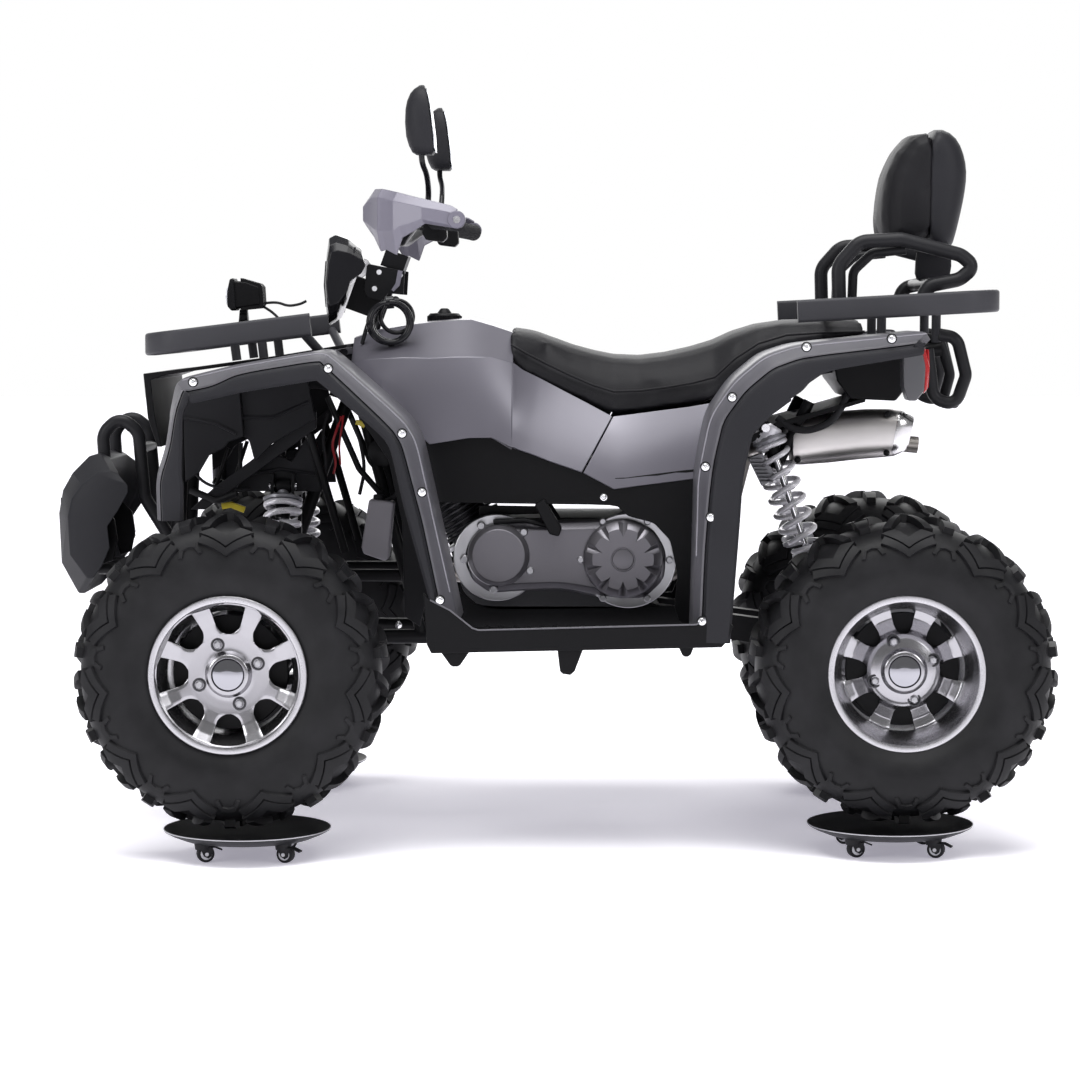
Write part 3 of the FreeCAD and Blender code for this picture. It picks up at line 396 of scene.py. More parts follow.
def tyre(name, hub, side, radius, width, body):
    """Casing turned about the axle, with chevron and arch lugs standing on its shoulder and crown.

    The casing's outside follows a rounded square: across = sin(t)^0.72, rise = cos(t)^0.62 over half a
    turn of t. A lug is a patch between four corners given as (turn, place along the casing) whose outer
    ring drops to the casing."""
    half = width / 2
    bead = TYRE_BEAD
    skin = radius - TREAD_DEPTH
    turn = np.linspace(-0.5, 0.5, 61) * math.pi
    belly = half * 0.995

    def casing(t, lift):
        """Side and radius of the casing at t from -pi/2 to pi/2, lifted square to the surface."""
        across = squared(np.sin(t), 0.72)
        rise = np.abs(np.cos(t)) ** 0.62
        s = (belly - 4) * across
        r = bead + 34 + (skin - bead - 34) * rise
        return s + 0.6 * lift * np.sin(t), r + lift * np.cos(t)

    outer_side, outer_radius = casing(turn, 0.0)
    foot = np.array([[-half * 0.80, bead], [-half * 0.87, bead + 14]])
    outer = np.vstack([foot, np.stack([outer_side, outer_radius], -1), foot[::-1] * (-1, 1)])
    inner = outer[::-1] * (0.88, 1) + (0, -9)
    inner[:, 1] = np.maximum(inner[:, 1], bead)
    loop = np.vstack([outer, inner])
    loop[:, 0] += side
    surfaces = [turned(loop, hub, 160)]

    def lug(corners, height):
        """One rubber block: bilinear in its four corners, its rim carried down to the casing."""
        a = np.linspace(0, 1, 5)[:, None]
        b = np.linspace(0, 1, 5)[None, :]
        first, second, third, fourth = [np.array(corner, float) for corner in corners]
        top = ((1 - a) * (1 - b))[..., None] * first + (a * (1 - b))[..., None] * second \
            + (a * b)[..., None] * third + ((1 - a) * b)[..., None] * fourth
        middle = top.mean((0, 1))
        ringed = np.pad(top, ((1, 1), (1, 1), (0, 0)), mode="edge")
        lift = np.full(ringed.shape[:2], height)
        rim = np.zeros(ringed.shape[:2], bool)
        rim[0] = rim[-1] = True
        rim[:, 0] = rim[:, -1] = True
        lift[rim] = -LUG_FOOT
        ringed[rim] = middle + (ringed[rim] - middle) * LUG_FLARE
        return ringed, lift

    blocks = []
    pitch = 2 * math.pi / LUG_UNITS
    for way in (-1, 1):
        for index in range(LUG_UNITS):
            centre = pitch * (index + (0.0 if way * side > 0 else 0.5))

            def block(corners, height):
                """Adds one lug; its corners are (share of a unit's turn, place along the casing)."""
                spots = [(centre + turn_share * pitch, way * t) for turn_share, t in corners]
                blocks.append(lug(spots, height))

            for hand in (-1, 1):
                # arms of the shoulder chevron, its point towards the rim
                block([(0.0, 1.20), (hand * 0.30, 0.86), (hand * 0.36, 1.02), (0.0, 1.34)], 10)
                block([(0.0, 0.95), (hand * 0.16, 0.72), (hand * 0.33, 0.80), (0.0, 1.17)], 13)
                # crown bars, from the middle out to the shoulder
                block([(hand * 0.04, 0.03), (hand * 0.10, 0.02), (hand * 0.30, 0.66),
                       (hand * 0.20, 0.68)], 14)
                # arch between two chevrons
                block([(0.5, 0.95), (0.5 + hand * 0.10, 1.0), (0.5 + hand * 0.10, 1.10), (0.5, 1.06)], 7)
                block([(0.5 + hand * 0.10, 1.0), (0.5 + hand * 0.17, 1.22), (0.5 + hand * 0.12, 1.24),
                       (0.5 + hand * 0.07, 1.09)], 6)
            block([(0.42, 0.06), (0.58, 0.06), (0.56, 0.50), (0.44, 0.50)], 14)
    for ringed, lift in blocks:
        angle = ringed[..., 0]
        s, r = casing(ringed[..., 1], lift)
        points = np.stack([hub[0] + r * np.sin(angle), side + s, hub[2] + r * np.cos(angle)], -1)
        surface = grid(points)
        away = points[2, 2] - (hub[0], side, hub[2])
        face = surface[1][0][len(surface[1][0]) // 2]
        first, second, third, _ = points.reshape(-1, 3)[face]
        if np.dot(np.cross(second - first, third - second), away) < 0:
            surface = (surface[0], [faces[:, ::-1] for faces in surface[1]])
        surfaces.append(surface)
    piece(name + "_tread", surfaces, MATERIALS["tyre"], body, "tyre", (name,), smooth=40)


WHEELS = [
    # end, hand, way outwards along Y, body
    ("front", "left", -1, "front_wheel_left"), ("front", "right", 1, "front_wheel_right"),
    ("rear", "left", -1, "rear_wheels"), ("rear", "right", 1, "rear_wheels"),
]
for end, hand, way, body in WHEELS:
    node_name = f"{end}_tyre_{hand}"
    middle = node_middle(node_name)
    tyre(node_name, middle, middle[1], FRONT_RADIUS if end == "front" else REAR_RADIUS,
         FRONT_WIDTH if end == "front" else REAR_WIDTH, body)


# Rims

RIM_SEAT = 136.0
SPOKES = 8
NUTS = 4
NUT_CIRCLE = 57
NUT_TURN = -20


def rim(name, hub, way, width, depths, window, body):
    """Cast wheel: a turned barrel, a face of eight spokes on a polar grid, a domed cap, a brake drum and
    four nuts.

    A spoke at radius r spans the turn a +- h(r), where h(r) is an eighth of half a turn less the
    window's half angle; the face lies at a depth behind the rim's edge, read from knots of radius and
    depth."""
    side_edge = width / 2
    seat = RIM_SEAT

    def on_hub(profile, centre, steps):
        """A closed profile, given from the wheel's middle outwards, turned about a centre on this side."""
        return turned(np.array(profile) * (way, 1) + (hub[1], 0), centre, steps)

    barrel = [
        (side_edge, 133), (side_edge - 1.5, 132), (side_edge - 9, 130.5), (side_edge - 24, 126),
        (side_edge * 0.45, 115), (-side_edge * 0.5, 113), (-side_edge * 0.62, 128), (-side_edge, 130),
        (-side_edge, 143), (-side_edge + 5, 143), (-side_edge + 6, seat), (-side_edge * 0.62, seat),
        (-side_edge * 0.5, 119),
        (side_edge * 0.5, 119), (side_edge * 0.62, seat), (side_edge - 6, seat), (side_edge - 5, 143.5),
        (side_edge - 1.5, 144.5), (side_edge, 143), (side_edge + 0.6, 135),
    ]
    ring = on_hub(barrel, hub, 128)
    low, high, half_low, half_high, top_round = window
    window_rows = low + (high - low) * (1 - np.cos(np.linspace(0, math.pi, 30))) / 2
    radius = np.concatenate([np.linspace(34, low, 8), window_rows, np.linspace(high, high + 3, 4)])
    share = np.clip((radius - low) / (high - low), 0, 1)
    half_width = half_low + (half_high - half_low) * share
    corner = np.sqrt(np.clip(1 - (1 - np.clip(share / 0.34, 0, 1)) ** 2, 0, 1))
    corner = corner * np.sqrt(np.clip(1 - (1 - np.clip((1 - share) / top_round, 0, 1)) ** 2, 0, 1))
    opening = np.arcsin(half_width * corner / radius)
    spoke_half = math.pi / SPOKES - opening
    knots = np.array(depths)
    depth = np.interp(radius, knots[:, 0], knots[:, 1])
    across = np.array([-1, -0.97, -0.86, -0.5, 0, 0.5, 0.86, 0.97, 1])
    edge_drop = np.array([2.6, 1.0, 0.2, 0, 0, 0, 0.2, 1.0, 2.6])
    drop = edge_drop[None] * np.clip(opening / 0.04, 0, 1)[:, None]
    front = side_edge - depth[:, None] - drop
    back = np.broadcast_to(side_edge - depth[:, None] - 11 - share[:, None] * 5, front.shape)
    turn_front = spoke_half[:, None] * across[None]
    turn_loop = np.concatenate([turn_front, turn_front[:, ::-1]], 1)
    side_loop = np.concatenate([front, back[:, ::-1]], 1)
    spokes = []
    for index in range(SPOKES):
        angle = math.pi / SPOKES + index * 2 * math.pi / SPOKES + turn_loop
        points = np.stack([hub[0] + radius[:, None] * np.sin(angle), hub[1] + way * side_loop,
                           hub[2] + radius[:, None] * np.cos(angle)], -1)
        spokes.append(capped(points))
    piece(name + "_barrel", [ring], MATERIALS["rim"], body, "rim", (name,), smooth=30)
    piece(name + "_face", spokes, MACHINED, body, "rim", (name,), smooth=30)
    cap_side = side_edge - depth[0]
    dome = [(cap_side - 8, 0), (cap_side - 8, 30), (cap_side + 9, 30), (cap_side + 12, 27.5),
            (cap_side + 14.5, 18), (cap_side + 15.5, 8), (cap_side + 15.6, 0)]
    collar = [(cap_side - 10, 30.3), (cap_side - 10, 44), (cap_side - 1, 43), (cap_side + 4, 39.5),
              (cap_side + 11, 37), (cap_side + 13, 34), (cap_side + 13, 30.3)]
    piece(name + "_cap", [on_hub(dome, hub, 64)], CAP_MIRROR, body, "plastic_gloss", (name,))
    piece(name + "_collar", [on_hub(collar, hub, 64)], MACHINED, body, "rim", (name,))
    drum = [(cap_side - 46, 46), (cap_side - 46, 104), (cap_side - 40, 106), (cap_side - 36, 104),
            (cap_side - 32, 64), (cap_side - 22, 56), (cap_side - 22, 46)]
    piece(name + "_drum", [on_hub(drum, hub, 64)], NEAR_BLACK, body, "steel_black", (name,))
    nut_side = side_edge - np.interp(NUT_CIRCLE, knots[:, 0], knots[:, 1])
    sockets = []
    nuts = []
    pocket = [(nut_side - 8, 8.5), (nut_side - 8, 13), (nut_side + 1.2, 12.6), (nut_side + 1.8, 10.5),
              (nut_side + 0.5, 8.5)]
    nut = [(nut_side - 8, 0), (nut_side - 8, 8), (nut_side + 5, 8), (nut_side + 8, 5.5), (nut_side + 8, 0)]
    for index in range(NUTS):
        angle = math.radians(NUT_TURN + 360 / NUTS * index)
        centre = np.array([hub[0] + NUT_CIRCLE * math.sin(angle), 0, hub[2] + NUT_CIRCLE * math.cos(angle)])
        sockets.append(on_hub(pocket, centre, 24))
        nuts.append(on_hub(nut, centre, 6))
    # Each nut sits in a ring painted dark: painted shade and dark reflection of its socket.
    piece(name + "_sockets", sockets, POCKET_SHADE, body, "rim", (name,))
    piece(name + "_nuts", nuts, BARE_STEEL, body, "steel", (name,), bevel=0.8, smooth=30)


NEAR_BLACK = coated("black_lower_panel", (0.004, 0.004, 0.0048), 0.44, 650, 0.0004, 0.15)
CAP_MIRROR = metal("dark_mirror_cap", (0.34, 0.34, 0.37), 0.08, grain=40, spread=0.02)
MACHINED = metal("machined_face", (0.37, 0.365, 0.385), 0.24, grain=900, spread=0.03)
# Dark colour of the nut pockets: painted shade and dark reflection, not the metal's own colour.
POCKET_SHADE = coated("painted_shade_pocket", (0.05, 0.05, 0.055), 0.4, 400, 0.0003, metallic=0.6)
RIM_WIDTHS = {"front": 160.0, "rear": 204.0}
FACE_DEPTHS = {
    "front": [(34, 24), (46, 26), (70, 25), (96, 22), (114, 15), (132, 4)],
    "rear": [(34, 56), (46, 58), (64, 64), (76, 80), (96, 90), (112, 86), (120, 78)],
}
WINDOWS = {"front": (73, 129, 17, 33, 0.03), "rear": (67, 120, 13, 25, 0.05)}
for end, hand, way, body in WHEELS:
    middle = node_middle(f"{end}_rim_{hand}")
    rim(f"{end}_rim_{hand}", middle, way, RIM_WIDTHS[end], FACE_DEPTHS[end], WINDOWS[end], body)

# Curves and profiles


def softened(points, share=0.35, steps=4):
    """A line with its corners cut by parabolas that start a share of the way along each side."""
    points = np.asarray(points, float)
    before, corner, after = points[:-2], points[1:-1], points[2:]
    first = corner + share * (before - corner)
    last = corner + share * (after - corner)
    t = np.linspace(0, 1, steps + 1)[None, :, None]
    curve = (1 - t) ** 2 * first[:, None] + 2 * t * (1 - t) * corner[:, None] + t ** 2 * last[:, None]
    return np.vstack([points[:1], curve.reshape(-1, points.shape[1]), points[-1:]])


def softened_loop(points, share=0.25, steps=3):
    """A closed outline with its corners cut in the same way."""
    points = np.asarray(points, float)
    ring = np.vstack([points[-1:], points, points[:1]])
    return softened(ring, share, steps)[1:-1]


def bent(points, radius, steps=6):
    """Straight runs joined by tangent arcs of one radius, as the tubes are bent."""
    points = np.asarray(points, float)
    line = [points[:1]]
    for before, corner, after in zip(points, points[1:], points[2:]):
        first = before - corner
        last = after - corner
        reach = min(np.linalg.norm(first), np.linalg.norm(last))
        first = unit(first)
        last = unit(last)
        half = (math.pi - math.acos(np.clip(first @ last, -1, 1))) / 2
        if half < 0.01:
            continue
        arc = min(radius, 0.48 * reach / math.tan(half))
        middle = (first + last) / np.linalg.norm(first + last)
        centre = corner + middle * arc / math.cos(half)
        start = corner + first * arc * math.tan(half) - centre
        normal = np.cross(start, corner + last * arc * math.tan(half) - centre)
        normal = unit(normal)
        turn = np.linspace(0, 2 * half, steps + 1)[:, None]
        line.append(centre + start * np.cos(turn) + np.cross(normal, start) * np.sin(turn))
    line.append(points[-1:])
    return np.vstack(line)


def carried(path, section, upright=(0, 0, 1)):
    """A closed section carried along a path: its first axis is square to the path and to the upright, its
    second square to both; the section's points are (across, up) and the ends are capped."""
    path = np.asarray(path, float)
    way = np.gradient(path, axis=0)
    way = way / np.linalg.norm(way, axis=1, keepdims=True)
    across = np.cross(way, np.asarray(upright, float))
    across = across / np.linalg.norm(across, axis=1, keepdims=True)
    up = np.cross(across, way)
    section = np.asarray(section, float)
    points = path[:, None] + across[:, None] * section[None, :, :1] + up[:, None] * section[None, :, 1:]
    return capped(points)


OUT_LEFT = (0, -1, 0)
UPWARDS = (0, 0, 1)


def round_section(radius, steps=16):
    """Circle of (across, up) points."""
    turn = full_turn(steps)
    return np.stack([radius * np.cos(turn), radius * np.sin(turn)], -1)


def box_section(wide, tall, corner):
    """Rectangle with rounded corners."""
    outline = np.array([(-wide, -tall), (wide, -tall), (wide, tall), (-wide, tall)]) / 2
    ring = []
    for (x, z), start in zip(outline, (180, 270, 0, 90)):
        turn = np.radians(start + np.linspace(0, 90, 5))
        centre = np.array([x - math.copysign(corner, x), z - math.copysign(corner, z)])
        ring.append(centre + corner * np.stack([np.cos(turn), np.sin(turn)], -1))
    return np.vstack(ring)


def extruded(outline, near, far):
    """Flat piece: an outline of stations and heights carried from one side distance to another."""
    outline = np.asarray(outline, float)
    points = np.stack([at(outline[:, 0], side, outline[:, 1]) for side in (near, far)])
    return capped(points)


def spun(profile, start, way, steps=32):
    """Surface turned about any axis: the profile holds distances along it from the start, and radii."""
    start = np.asarray(start, float)
    way = unit(way)
    side = np.cross(way, (0.3, 0.2, 0.93))
    side = unit(side)
    other = np.cross(way, side)
    profile = np.asarray(profile, float)
    turn = full_turn(steps)[:, None, None]
    ring = side * np.cos(turn) + other * np.sin(turn)
    points = start + way * profile[None, :, :1] + ring * profile[None, :, 1:]
    return ring_form(points)


def bolt(place, way, radius=5.0):
    """Button head bolt: a low dome with a sunk middle on a thin washer."""
    return spun([(-4, 0), (-4, radius * 1.35), (0.8, radius * 1.35), (1.2, radius), (2.6, radius * 0.9),
                 (3.4, radius * 0.62), (3.4, radius * 0.4), (1.6, radius * 0.34), (1.6, 0)], place, way, 20)


# Wheel guards

BAND = coated("satin_grey_guard_top", (0.085, 0.083, 0.095), 0.36, 500, 0.0002, 0.08)
FLARE = coated("dark_guard_flare", (0.018, 0.018, 0.021), 0.5, 650, 0.0005, 0.15)
ZINC = metal("zinc_bolts", (0.80, 0.80, 0.82), 0.22, grain=300)
GUARD_SIDE = 460
FLARE_SIDE = 482


def guard(stations, inner, tops, depths):
    """Left wheel guard carried along a side-view path: a top skin with a sloping light band, and a
    turned-down flare.

    A point of the section lies at a side distance and a drop square to the path; the band ends at the
    drop of tops and the flare at the drop of depths, both read along the path."""
    keyed = np.column_stack([stations, inner, tops, depths])
    keyed = softened(keyed, 0.3, 4)
    path = keyed[:, :2]
    run = np.gradient(path, axis=0)
    run = run / np.linalg.norm(run, axis=1, keepdims=True)
    inward = np.stack([run[:, 1], -run[:, 0]], -1)
    edge, top, deep = keyed[:, 2], keyed[:, 3], keyed[:, 4]
    full = np.ones(len(path))
    crease = -full * 330 - (edge - 232) * 0.5

    def strip(sides, drops):
        """Surface along the path through the given side distances and drops."""
        side = np.stack(sides, -1)
        drop = np.stack(drops, -1)
        back = path[:, :1] + inward[:, :1] * drop
        height = path[:, 1:] + inward[:, 1:] * drop
        return grid(at(back, side, height))

    band = strip([-edge, crease, -422 * full, -431 * full, -459 * full, -GUARD_SIDE * full],
                 [0 * full, 0 * full, 0 * full, 2 * full, top, top + 3])
    flare_sides = np.array([459.5, 457, 474, 480, FLARE_SIDE, FLARE_SIDE, 479, 470])
    flare = strip([-side * full for side in flare_sides],
                  [top + 1, top + 5, top + 8, top + 10, top + 14, deep - 4, deep, deep])
    return band, flare


FRONT_GUARD = {
    "stations": [(-140, 620), (-142, 696), (-123, 755), (-114, 822), (-104, 868), (-88, 880), (-40, 892),
                 (11, 904), (161, 930), (180, 925), (315, 806), (338, 768), (361, 664), (370, 622),
                 (399, 493), (412, 430)],
    "inner": [420, 420, 420, 415, 400, 300, 232, 232, 232, 232, 232, 232, 232, 232, 232, 232],
    "tops": [8, 8, 8, 10, 16, 22, 24, 13, 14, 18, 24, 24, 20, 18, 20, 20],
    "depths": [52, 54, 34, 26, 38, 46, 48, 48, 50, 48, 46, 46, 46, 44, 38, 34],
}
REAR_GUARD = {
    "stations": [(846, 400), (850, 560), (852, 640), (853, 694), (859, 736), (875, 814), (918, 876),
                 (973, 922), (1028, 940), (1078, 946), (1200, 958), (1266, 965), (1275, 950)],
    "inner": [192] * 13,
    "tops": [10, 12, 16, 20, 20, 22, 24, 24, 22, 20, 18, 16, 10],
    "depths": [64, 72, 76, 78, 78, 80, 88, 92, 76, 50, 42, 38, 20],
}
for name, shape in (("front_fenders", FRONT_GUARD), ("rear_fenders", REAR_GUARD)):
    band, flare = guard(**shape)
    for part, surface, finish in (("band", band, BAND), ("flare", flare, FLARE)):
        on_chassis(f"{name}_{part}", [both(surface)], finish, "plastic_black", name, bevel=1.2, wall=4,
                   smooth=30)


# Painted cover and side panels

COVER_STATIONS = [196, 225, 260, 300, 350, 400, 425, 466, 505]
COVER_TOP = [948, 958, 966, 973, 979, 983, 984, 972, 959]
COVER_TOP_HALF = [66, 80, 90, 98, 100, 98, 96, 90, 84]
COVER_FOLD = [905, 908, 911, 913, 912, 914, 914, 914, 903]
COVER_FOLD_HALF = [140, 172, 194, 206, 208, 202, 198, 188, 166]
COVER_LOW = [893, 868, 836, 798, 750, 758, 762, 762, 745]
COVER_LOW_HALF = [150, 190, 214, 222, 226, 224, 222, 219, 214]
PANEL_TOP = [(505, 166, 903), (524, 150, 890), (560, 140, 872), (600, 139, 851), (650, 143, 825),
             (697, 150, 800)]
PANEL_LOW = [(505, 214, 745), (522, 214, 738), (548, 213, 729), (578, 213, 717), (610, 212, 706),
             (639, 212, 696)]
REAR_TOP = [(699, 150, 800), (722, 153, 803), (780, 161, 811), (840, 168, 819), (893, 172, 828)]
REAR_LOW = [(642, 212, 695), (700, 210, 664), (760, 208, 672), (815, 207, 679), (862, 206, 685)]


def bowed(top, low, bow, rows):
    """Panel between a top and a low line of points, bowed outwards in the middle by a sine."""
    top = np.asarray(top, float)[:, None]
    low = np.asarray(low, float)[:, None]
    share = np.linspace(0, 1, rows)[None, :, None]
    line = top + (low - top) * share
    side = -(line[..., 1] + bow * np.sin(math.pi * share[..., 0]))
    return grid(at(line[..., 0], side, line[..., 2]))


def cover_half():
    """Left half of the cover: over the top to the fold and down its side, station by station."""
    back = np.array(COVER_STATIONS, float)
    over = np.stack([np.zeros(9), np.array(COVER_TOP_HALF) * 0.6, COVER_TOP_HALF, COVER_FOLD_HALF], -1)
    height = np.stack([np.array(COVER_TOP) + 3.0, np.array(COVER_TOP) + 2.0, COVER_TOP, COVER_FOLD], -1)
    crown = grid(at(back[:, None], -over, height))
    top = np.stack([back, COVER_FOLD_HALF, COVER_FOLD], -1)
    low = np.stack([back, COVER_LOW_HALF, COVER_LOW], -1)
    return [crown, bowed(top, low, 5, 7)]


left_cover = cover_half()
front_panel = [bowed(PANEL_TOP, PANEL_LOW, 7, 7)]
rear_panel = [bowed(REAR_TOP, REAR_LOW, 6, 7)]
on_chassis("tank_cover_shell", left_cover + front_panel + [flipped(s) for s in left_cover + front_panel],
           PAINT, "paint_grey", "tank_cover", "side_panels", wall=5, bevel=1.5, smooth=20, weld=True)
on_chassis("rear_side_panels", rear_panel + [flipped(s) for s in rear_panel], PAINT, "paint_grey",
           "side_panels", wall=5, bevel=1.5, smooth=20, weld=True)

LOWER_OUTLINE = [(322, 782), (345, 665), (363, 638), (704, 634), (728, 612), (776, 600), (808, 566),
                 (822, 500), (816, 440), (826, 409), (868, 402), (868, 690), (857, 704), (700, 684),
                 (633, 716), (454, 788), (351, 780)]
lower = extruded(softened_loop(LOWER_OUTLINE, 0.15, 2), -207, -199)
on_chassis("lower_side_panels", [both(lower)], NEAR_BLACK, "plastic_black", "lower_panels", bevel=1.5)
SILL_OUTLINE = [(352, 490), (364, 476), (401, 457), (440, 425), (452, 421), (850, 432), (868, 445),
                (905, 440), (917, 430), (908, 405), (896, 391), (366, 379), (358, 395)]
LUG_OUTLINES = [[(380, 385), (400, 357), (404, 354), (414, 354), (419, 357), (438, 385)],
                [(596, 388), (601, 346), (606, 341), (620, 339), (628, 346), (644, 388)],
                [(817, 392), (824, 377), (828, 373), (835, 373), (840, 377), (846, 392)]]
sill = extruded(SILL_OUTLINE, -483, -468)
edge_line = carried(at([364, 401, 441, 452, 850, 866], -483.5, [477, 458, 426, 422, 433, 445]),
                    box_section(3, 3, 1))
board = extruded([(395, 392), (395, 400), (880, 400), (880, 392)], -470, -205)
lugs = [extruded(outline, -476, -452) for outline in LUG_OUTLINES]
ribs = [extruded([(back, 399), (back, 405), (back + 8, 405), (back + 8, 399)], -455, -225)
        for back in range(430, 850, 26)]
floor_parts = [sill, board] + lugs + ribs
on_chassis("foot_boards", floor_parts + [flipped(s) for s in floor_parts], NEAR_BLACK, "plastic_black",
           "footwells", bevel=1.5)
on_chassis("foot_board_edges", [both(edge_line)], BAND, "plastic_black", "footwells")

# Seat and backrest

CLOTH_PRESSURE = 3.0
CLOTH_STIFFNESS = 40
CLOTH_BENDING = 2
CLOTH_FRAMES = 20


def stuffed(name, form, node, voxel, cap):
    made = on_chassis(name, [form], VINYL, "seat_cover", node, weld=True)
    remesh = made.modifiers.new("even", "REMESH")
    remesh.mode = "VOXEL"
    remesh.voxel_size = voxel * MM
    settle(made)
    count = len(made.data.vertices)
    start = np.empty(count * 3, np.float32)
    made.data.vertices.foreach_get("co", start)
    cloth = made.modifiers.new("cloth", "CLOTH")
    cloth.settings.use_pressure = True
    cloth.settings.uniform_pressure_force = CLOTH_PRESSURE
    cloth.settings.effector_weights.gravity = 0
    cloth.settings.tension_stiffness = CLOTH_STIFFNESS
    cloth.settings.compression_stiffness = CLOTH_STIFFNESS
    cloth.settings.bending_stiffness = CLOTH_BENDING
    cloth.point_cache.frame_start = 1
    cloth.point_cache.frame_end = CLOTH_FRAMES
    for frame_number in range(1, CLOTH_FRAMES + 1):
        bpy.context.scene.frame_set(frame_number)
    settle(made)
    end = np.empty(count * 3, np.float32)
    made.data.vertices.foreach_get("co", end)
    move = (end - start).reshape(-1, 3)
    length = np.linalg.norm(move, axis=1, keepdims=True)
    move *= np.minimum(1, cap * MM / np.maximum(length, 1e-9))
    made.data.vertices.foreach_set("co", (start.reshape(-1, 3) + move).ravel())
    bpy.context.scene.frame_set(1)
    made.data.polygons.foreach_set("use_smooth", np.ones(len(made.data.polygons), bool))


def settle(made):
    """Applies the modifiers of a piece to its mesh."""
    graph = bpy.context.evaluated_depsgraph_get()
    mesh = bpy.data.meshes.new_from_object(made.evaluated_get(graph), depsgraph=graph)
    made.modifiers.clear()
    made.data = mesh


SEAT_ROWS = [
    # back, crown height, low edge height, half width at the low edge
    (503, 968, 918, 148), (512, 975, 905, 150), (535, 968, 888, 146), (570, 951, 869, 141),
    (620, 932, 842, 142), (660, 921, 821, 146), (700, 913, 806, 151), (750, 911, 810, 157),
    (800, 917, 817, 163), (850, 928, 824, 168), (893, 941, 834, 171), (930, 958, 880, 170),
    (975, 972, 920, 168), (1030, 980, 942, 164), (1100, 982, 948, 158), (1180, 980, 952, 148),
]


def saddle():
    """Saddle: sections of a soft crown over sloping sides, carried along its stations."""
    rows = np.array(SEAT_ROWS, float)
    back, crown, low, half = rows.T
    share = np.array([0.0, 0.30, 0.52, 0.68, 0.80, 0.90, 0.97, 1.0, 0.985])
    fall = np.array([0.0, 0.02, 0.07, 0.16, 0.30, 0.48, 0.70, 0.90, 1.0])
    side = half[:, None] * share[None]
    height = crown[:, None] - (crown - low)[:, None] * fall[None]
    full_side = np.concatenate([-side[:, ::-1], side[:, 1:]], 1)
    full_height = np.concatenate([height[:, ::-1], height[:, 1:]], 1)
    points = at(back[:, None], full_side, full_height)
    return capped(points)


stuffed("seat_cushion", saddle(), "seat", 6, 6)

REST_MIDDLE = 1240
PAD_OUTLINE = [(1217, 1141), (1214, 1182), (1217, 1222), (1225, 1268), (1244, 1308), (1272, 1338),
               (1302, 1349), (1312, 1320), (1313, 1240), (1311, 1180), (1306, 1139), (1260, 1134)]
SHELL_OUTLINE = [(1303, 1353), (1333, 1356), (1362, 1338), (1376, 1306), (1383, 1271), (1379, 1232),
                 (1371, 1192), (1361, 1150), (1351, 1115), (1330, 1114), (1300, 1130), (1303, 1190),
                 (1305, 1260)]


def rest_form(outline, sides, seam):
    """Backrest piece: its side outline shrinks towards a seam plane near its sides by the given shares."""
    outline = np.asarray(outline, float)
    sections = []
    for side, flat, tall in sides:
        back = seam + (outline[:, 0] - seam) * flat
        height = REST_MIDDLE + (outline[:, 1] - REST_MIDDLE) * tall
        sections.append(at(back, side, height))
    return capped(sections)


REST_SIDES = [(-134, 0.30, 0.70), (-130, 0.62, 0.82), (-116, 0.84, 0.93), (-90, 0.97, 0.985),
              (-45, 1.0, 1.0), (0, 1.0, 1.0)]
REST_SIDES = REST_SIDES + [(-side, flat, tall) for side, flat, tall in reversed(REST_SIDES[:-1])]
stuffed("backrest_cushion", rest_form(PAD_OUTLINE, REST_SIDES, 1306), "backrest_pad", 5, 5)
shell_form = rest_form(SHELL_OUTLINE, REST_SIDES, 1310)
bracket = carried(at([1326, 1326, 1320], [0, 0, 0], [1140, 1090, 1052]), box_section(70, 20, 4), (0, 1, 0))
on_chassis("backrest_back", [shell_form, bracket], MATERIALS["plastic_black"], "plastic_black",
           "backrest_shell", smooth=40, subdivide=1)

# Racks

RACK_PLASTIC = coated("rack_plastic", (0.040, 0.040, 0.045), 0.42, 520, 0.0004, 0.12)


def rack(name, node, ends, bars, stays):
    """Loop of flat bar with rounded corners, round bars across and along it, and upright stays."""
    rail = bent(placed(ends), 70, 8)
    forms = [carried(rail, box_section(24, 42, 6))]
    for start, end, radius in bars:
        forms.append(carried([at(*start), at(*end)], round_section(radius, 12)))
    for start, end, radius in stays:
        forms.append(carried([at(*start), at(*end)], round_section(radius, 12), (1, 0, 0)))
    on_chassis(name, forms, RACK_PLASTIC, "plastic_black", node, smooth=40)


RACK_HALF = 330
front_bars = [((back, -RACK_HALF + 6, height), (back, RACK_HALF - 6, height), 9)
              for back, height in ((-30, 954), (60, 964))]
front_bars += [((-156, side, 942), (60, side, 964), 8) for side in (-110, 110)]
front_stays = [((back, side, height + 4), (back + 6, side, low), 9)
               for back, height, low in ((-30, 950, 908), (22, 960, 912)) for side in (-150, 150)]
front_stays += [((120, side, 962), (150, side * 0.72, 918), 9) for side in (-RACK_HALF + 10, RACK_HALF - 10)]
front_ends = [(134, -RACK_HALF, 978), (-172, -RACK_HALF, 940), (-172, RACK_HALF, 940), (134, RACK_HALF, 978)]
rack("front_rack_loop", "front_rack", front_ends, front_bars, front_stays)
rear_bars = [((back, -RACK_HALF + 6, height), (back, RACK_HALF - 6, height), 9)
             for back, height in ((1110, 1006), (1215, 1012), (1320, 1017))]
rear_bars += [((1110, side, 1006), (1404, side, 1022), 7) for side in (-180, -60, 60, 180)]
rear_stays = [((back, side, 1012), (back, side, low), 9)
              for back, low in ((1215, 930), (1320, 942)) for side in (-112, 112)]
rear_ends = [(1040, -RACK_HALF, 1002), (1410, -RACK_HALF, 1022), (1410, RACK_HALF, 1022),
             (1040, RACK_HALF, 1002)]
rack("rear_rack_loop", "rear_rack", rear_ends, rear_bars, rear_stays)

# Shocks


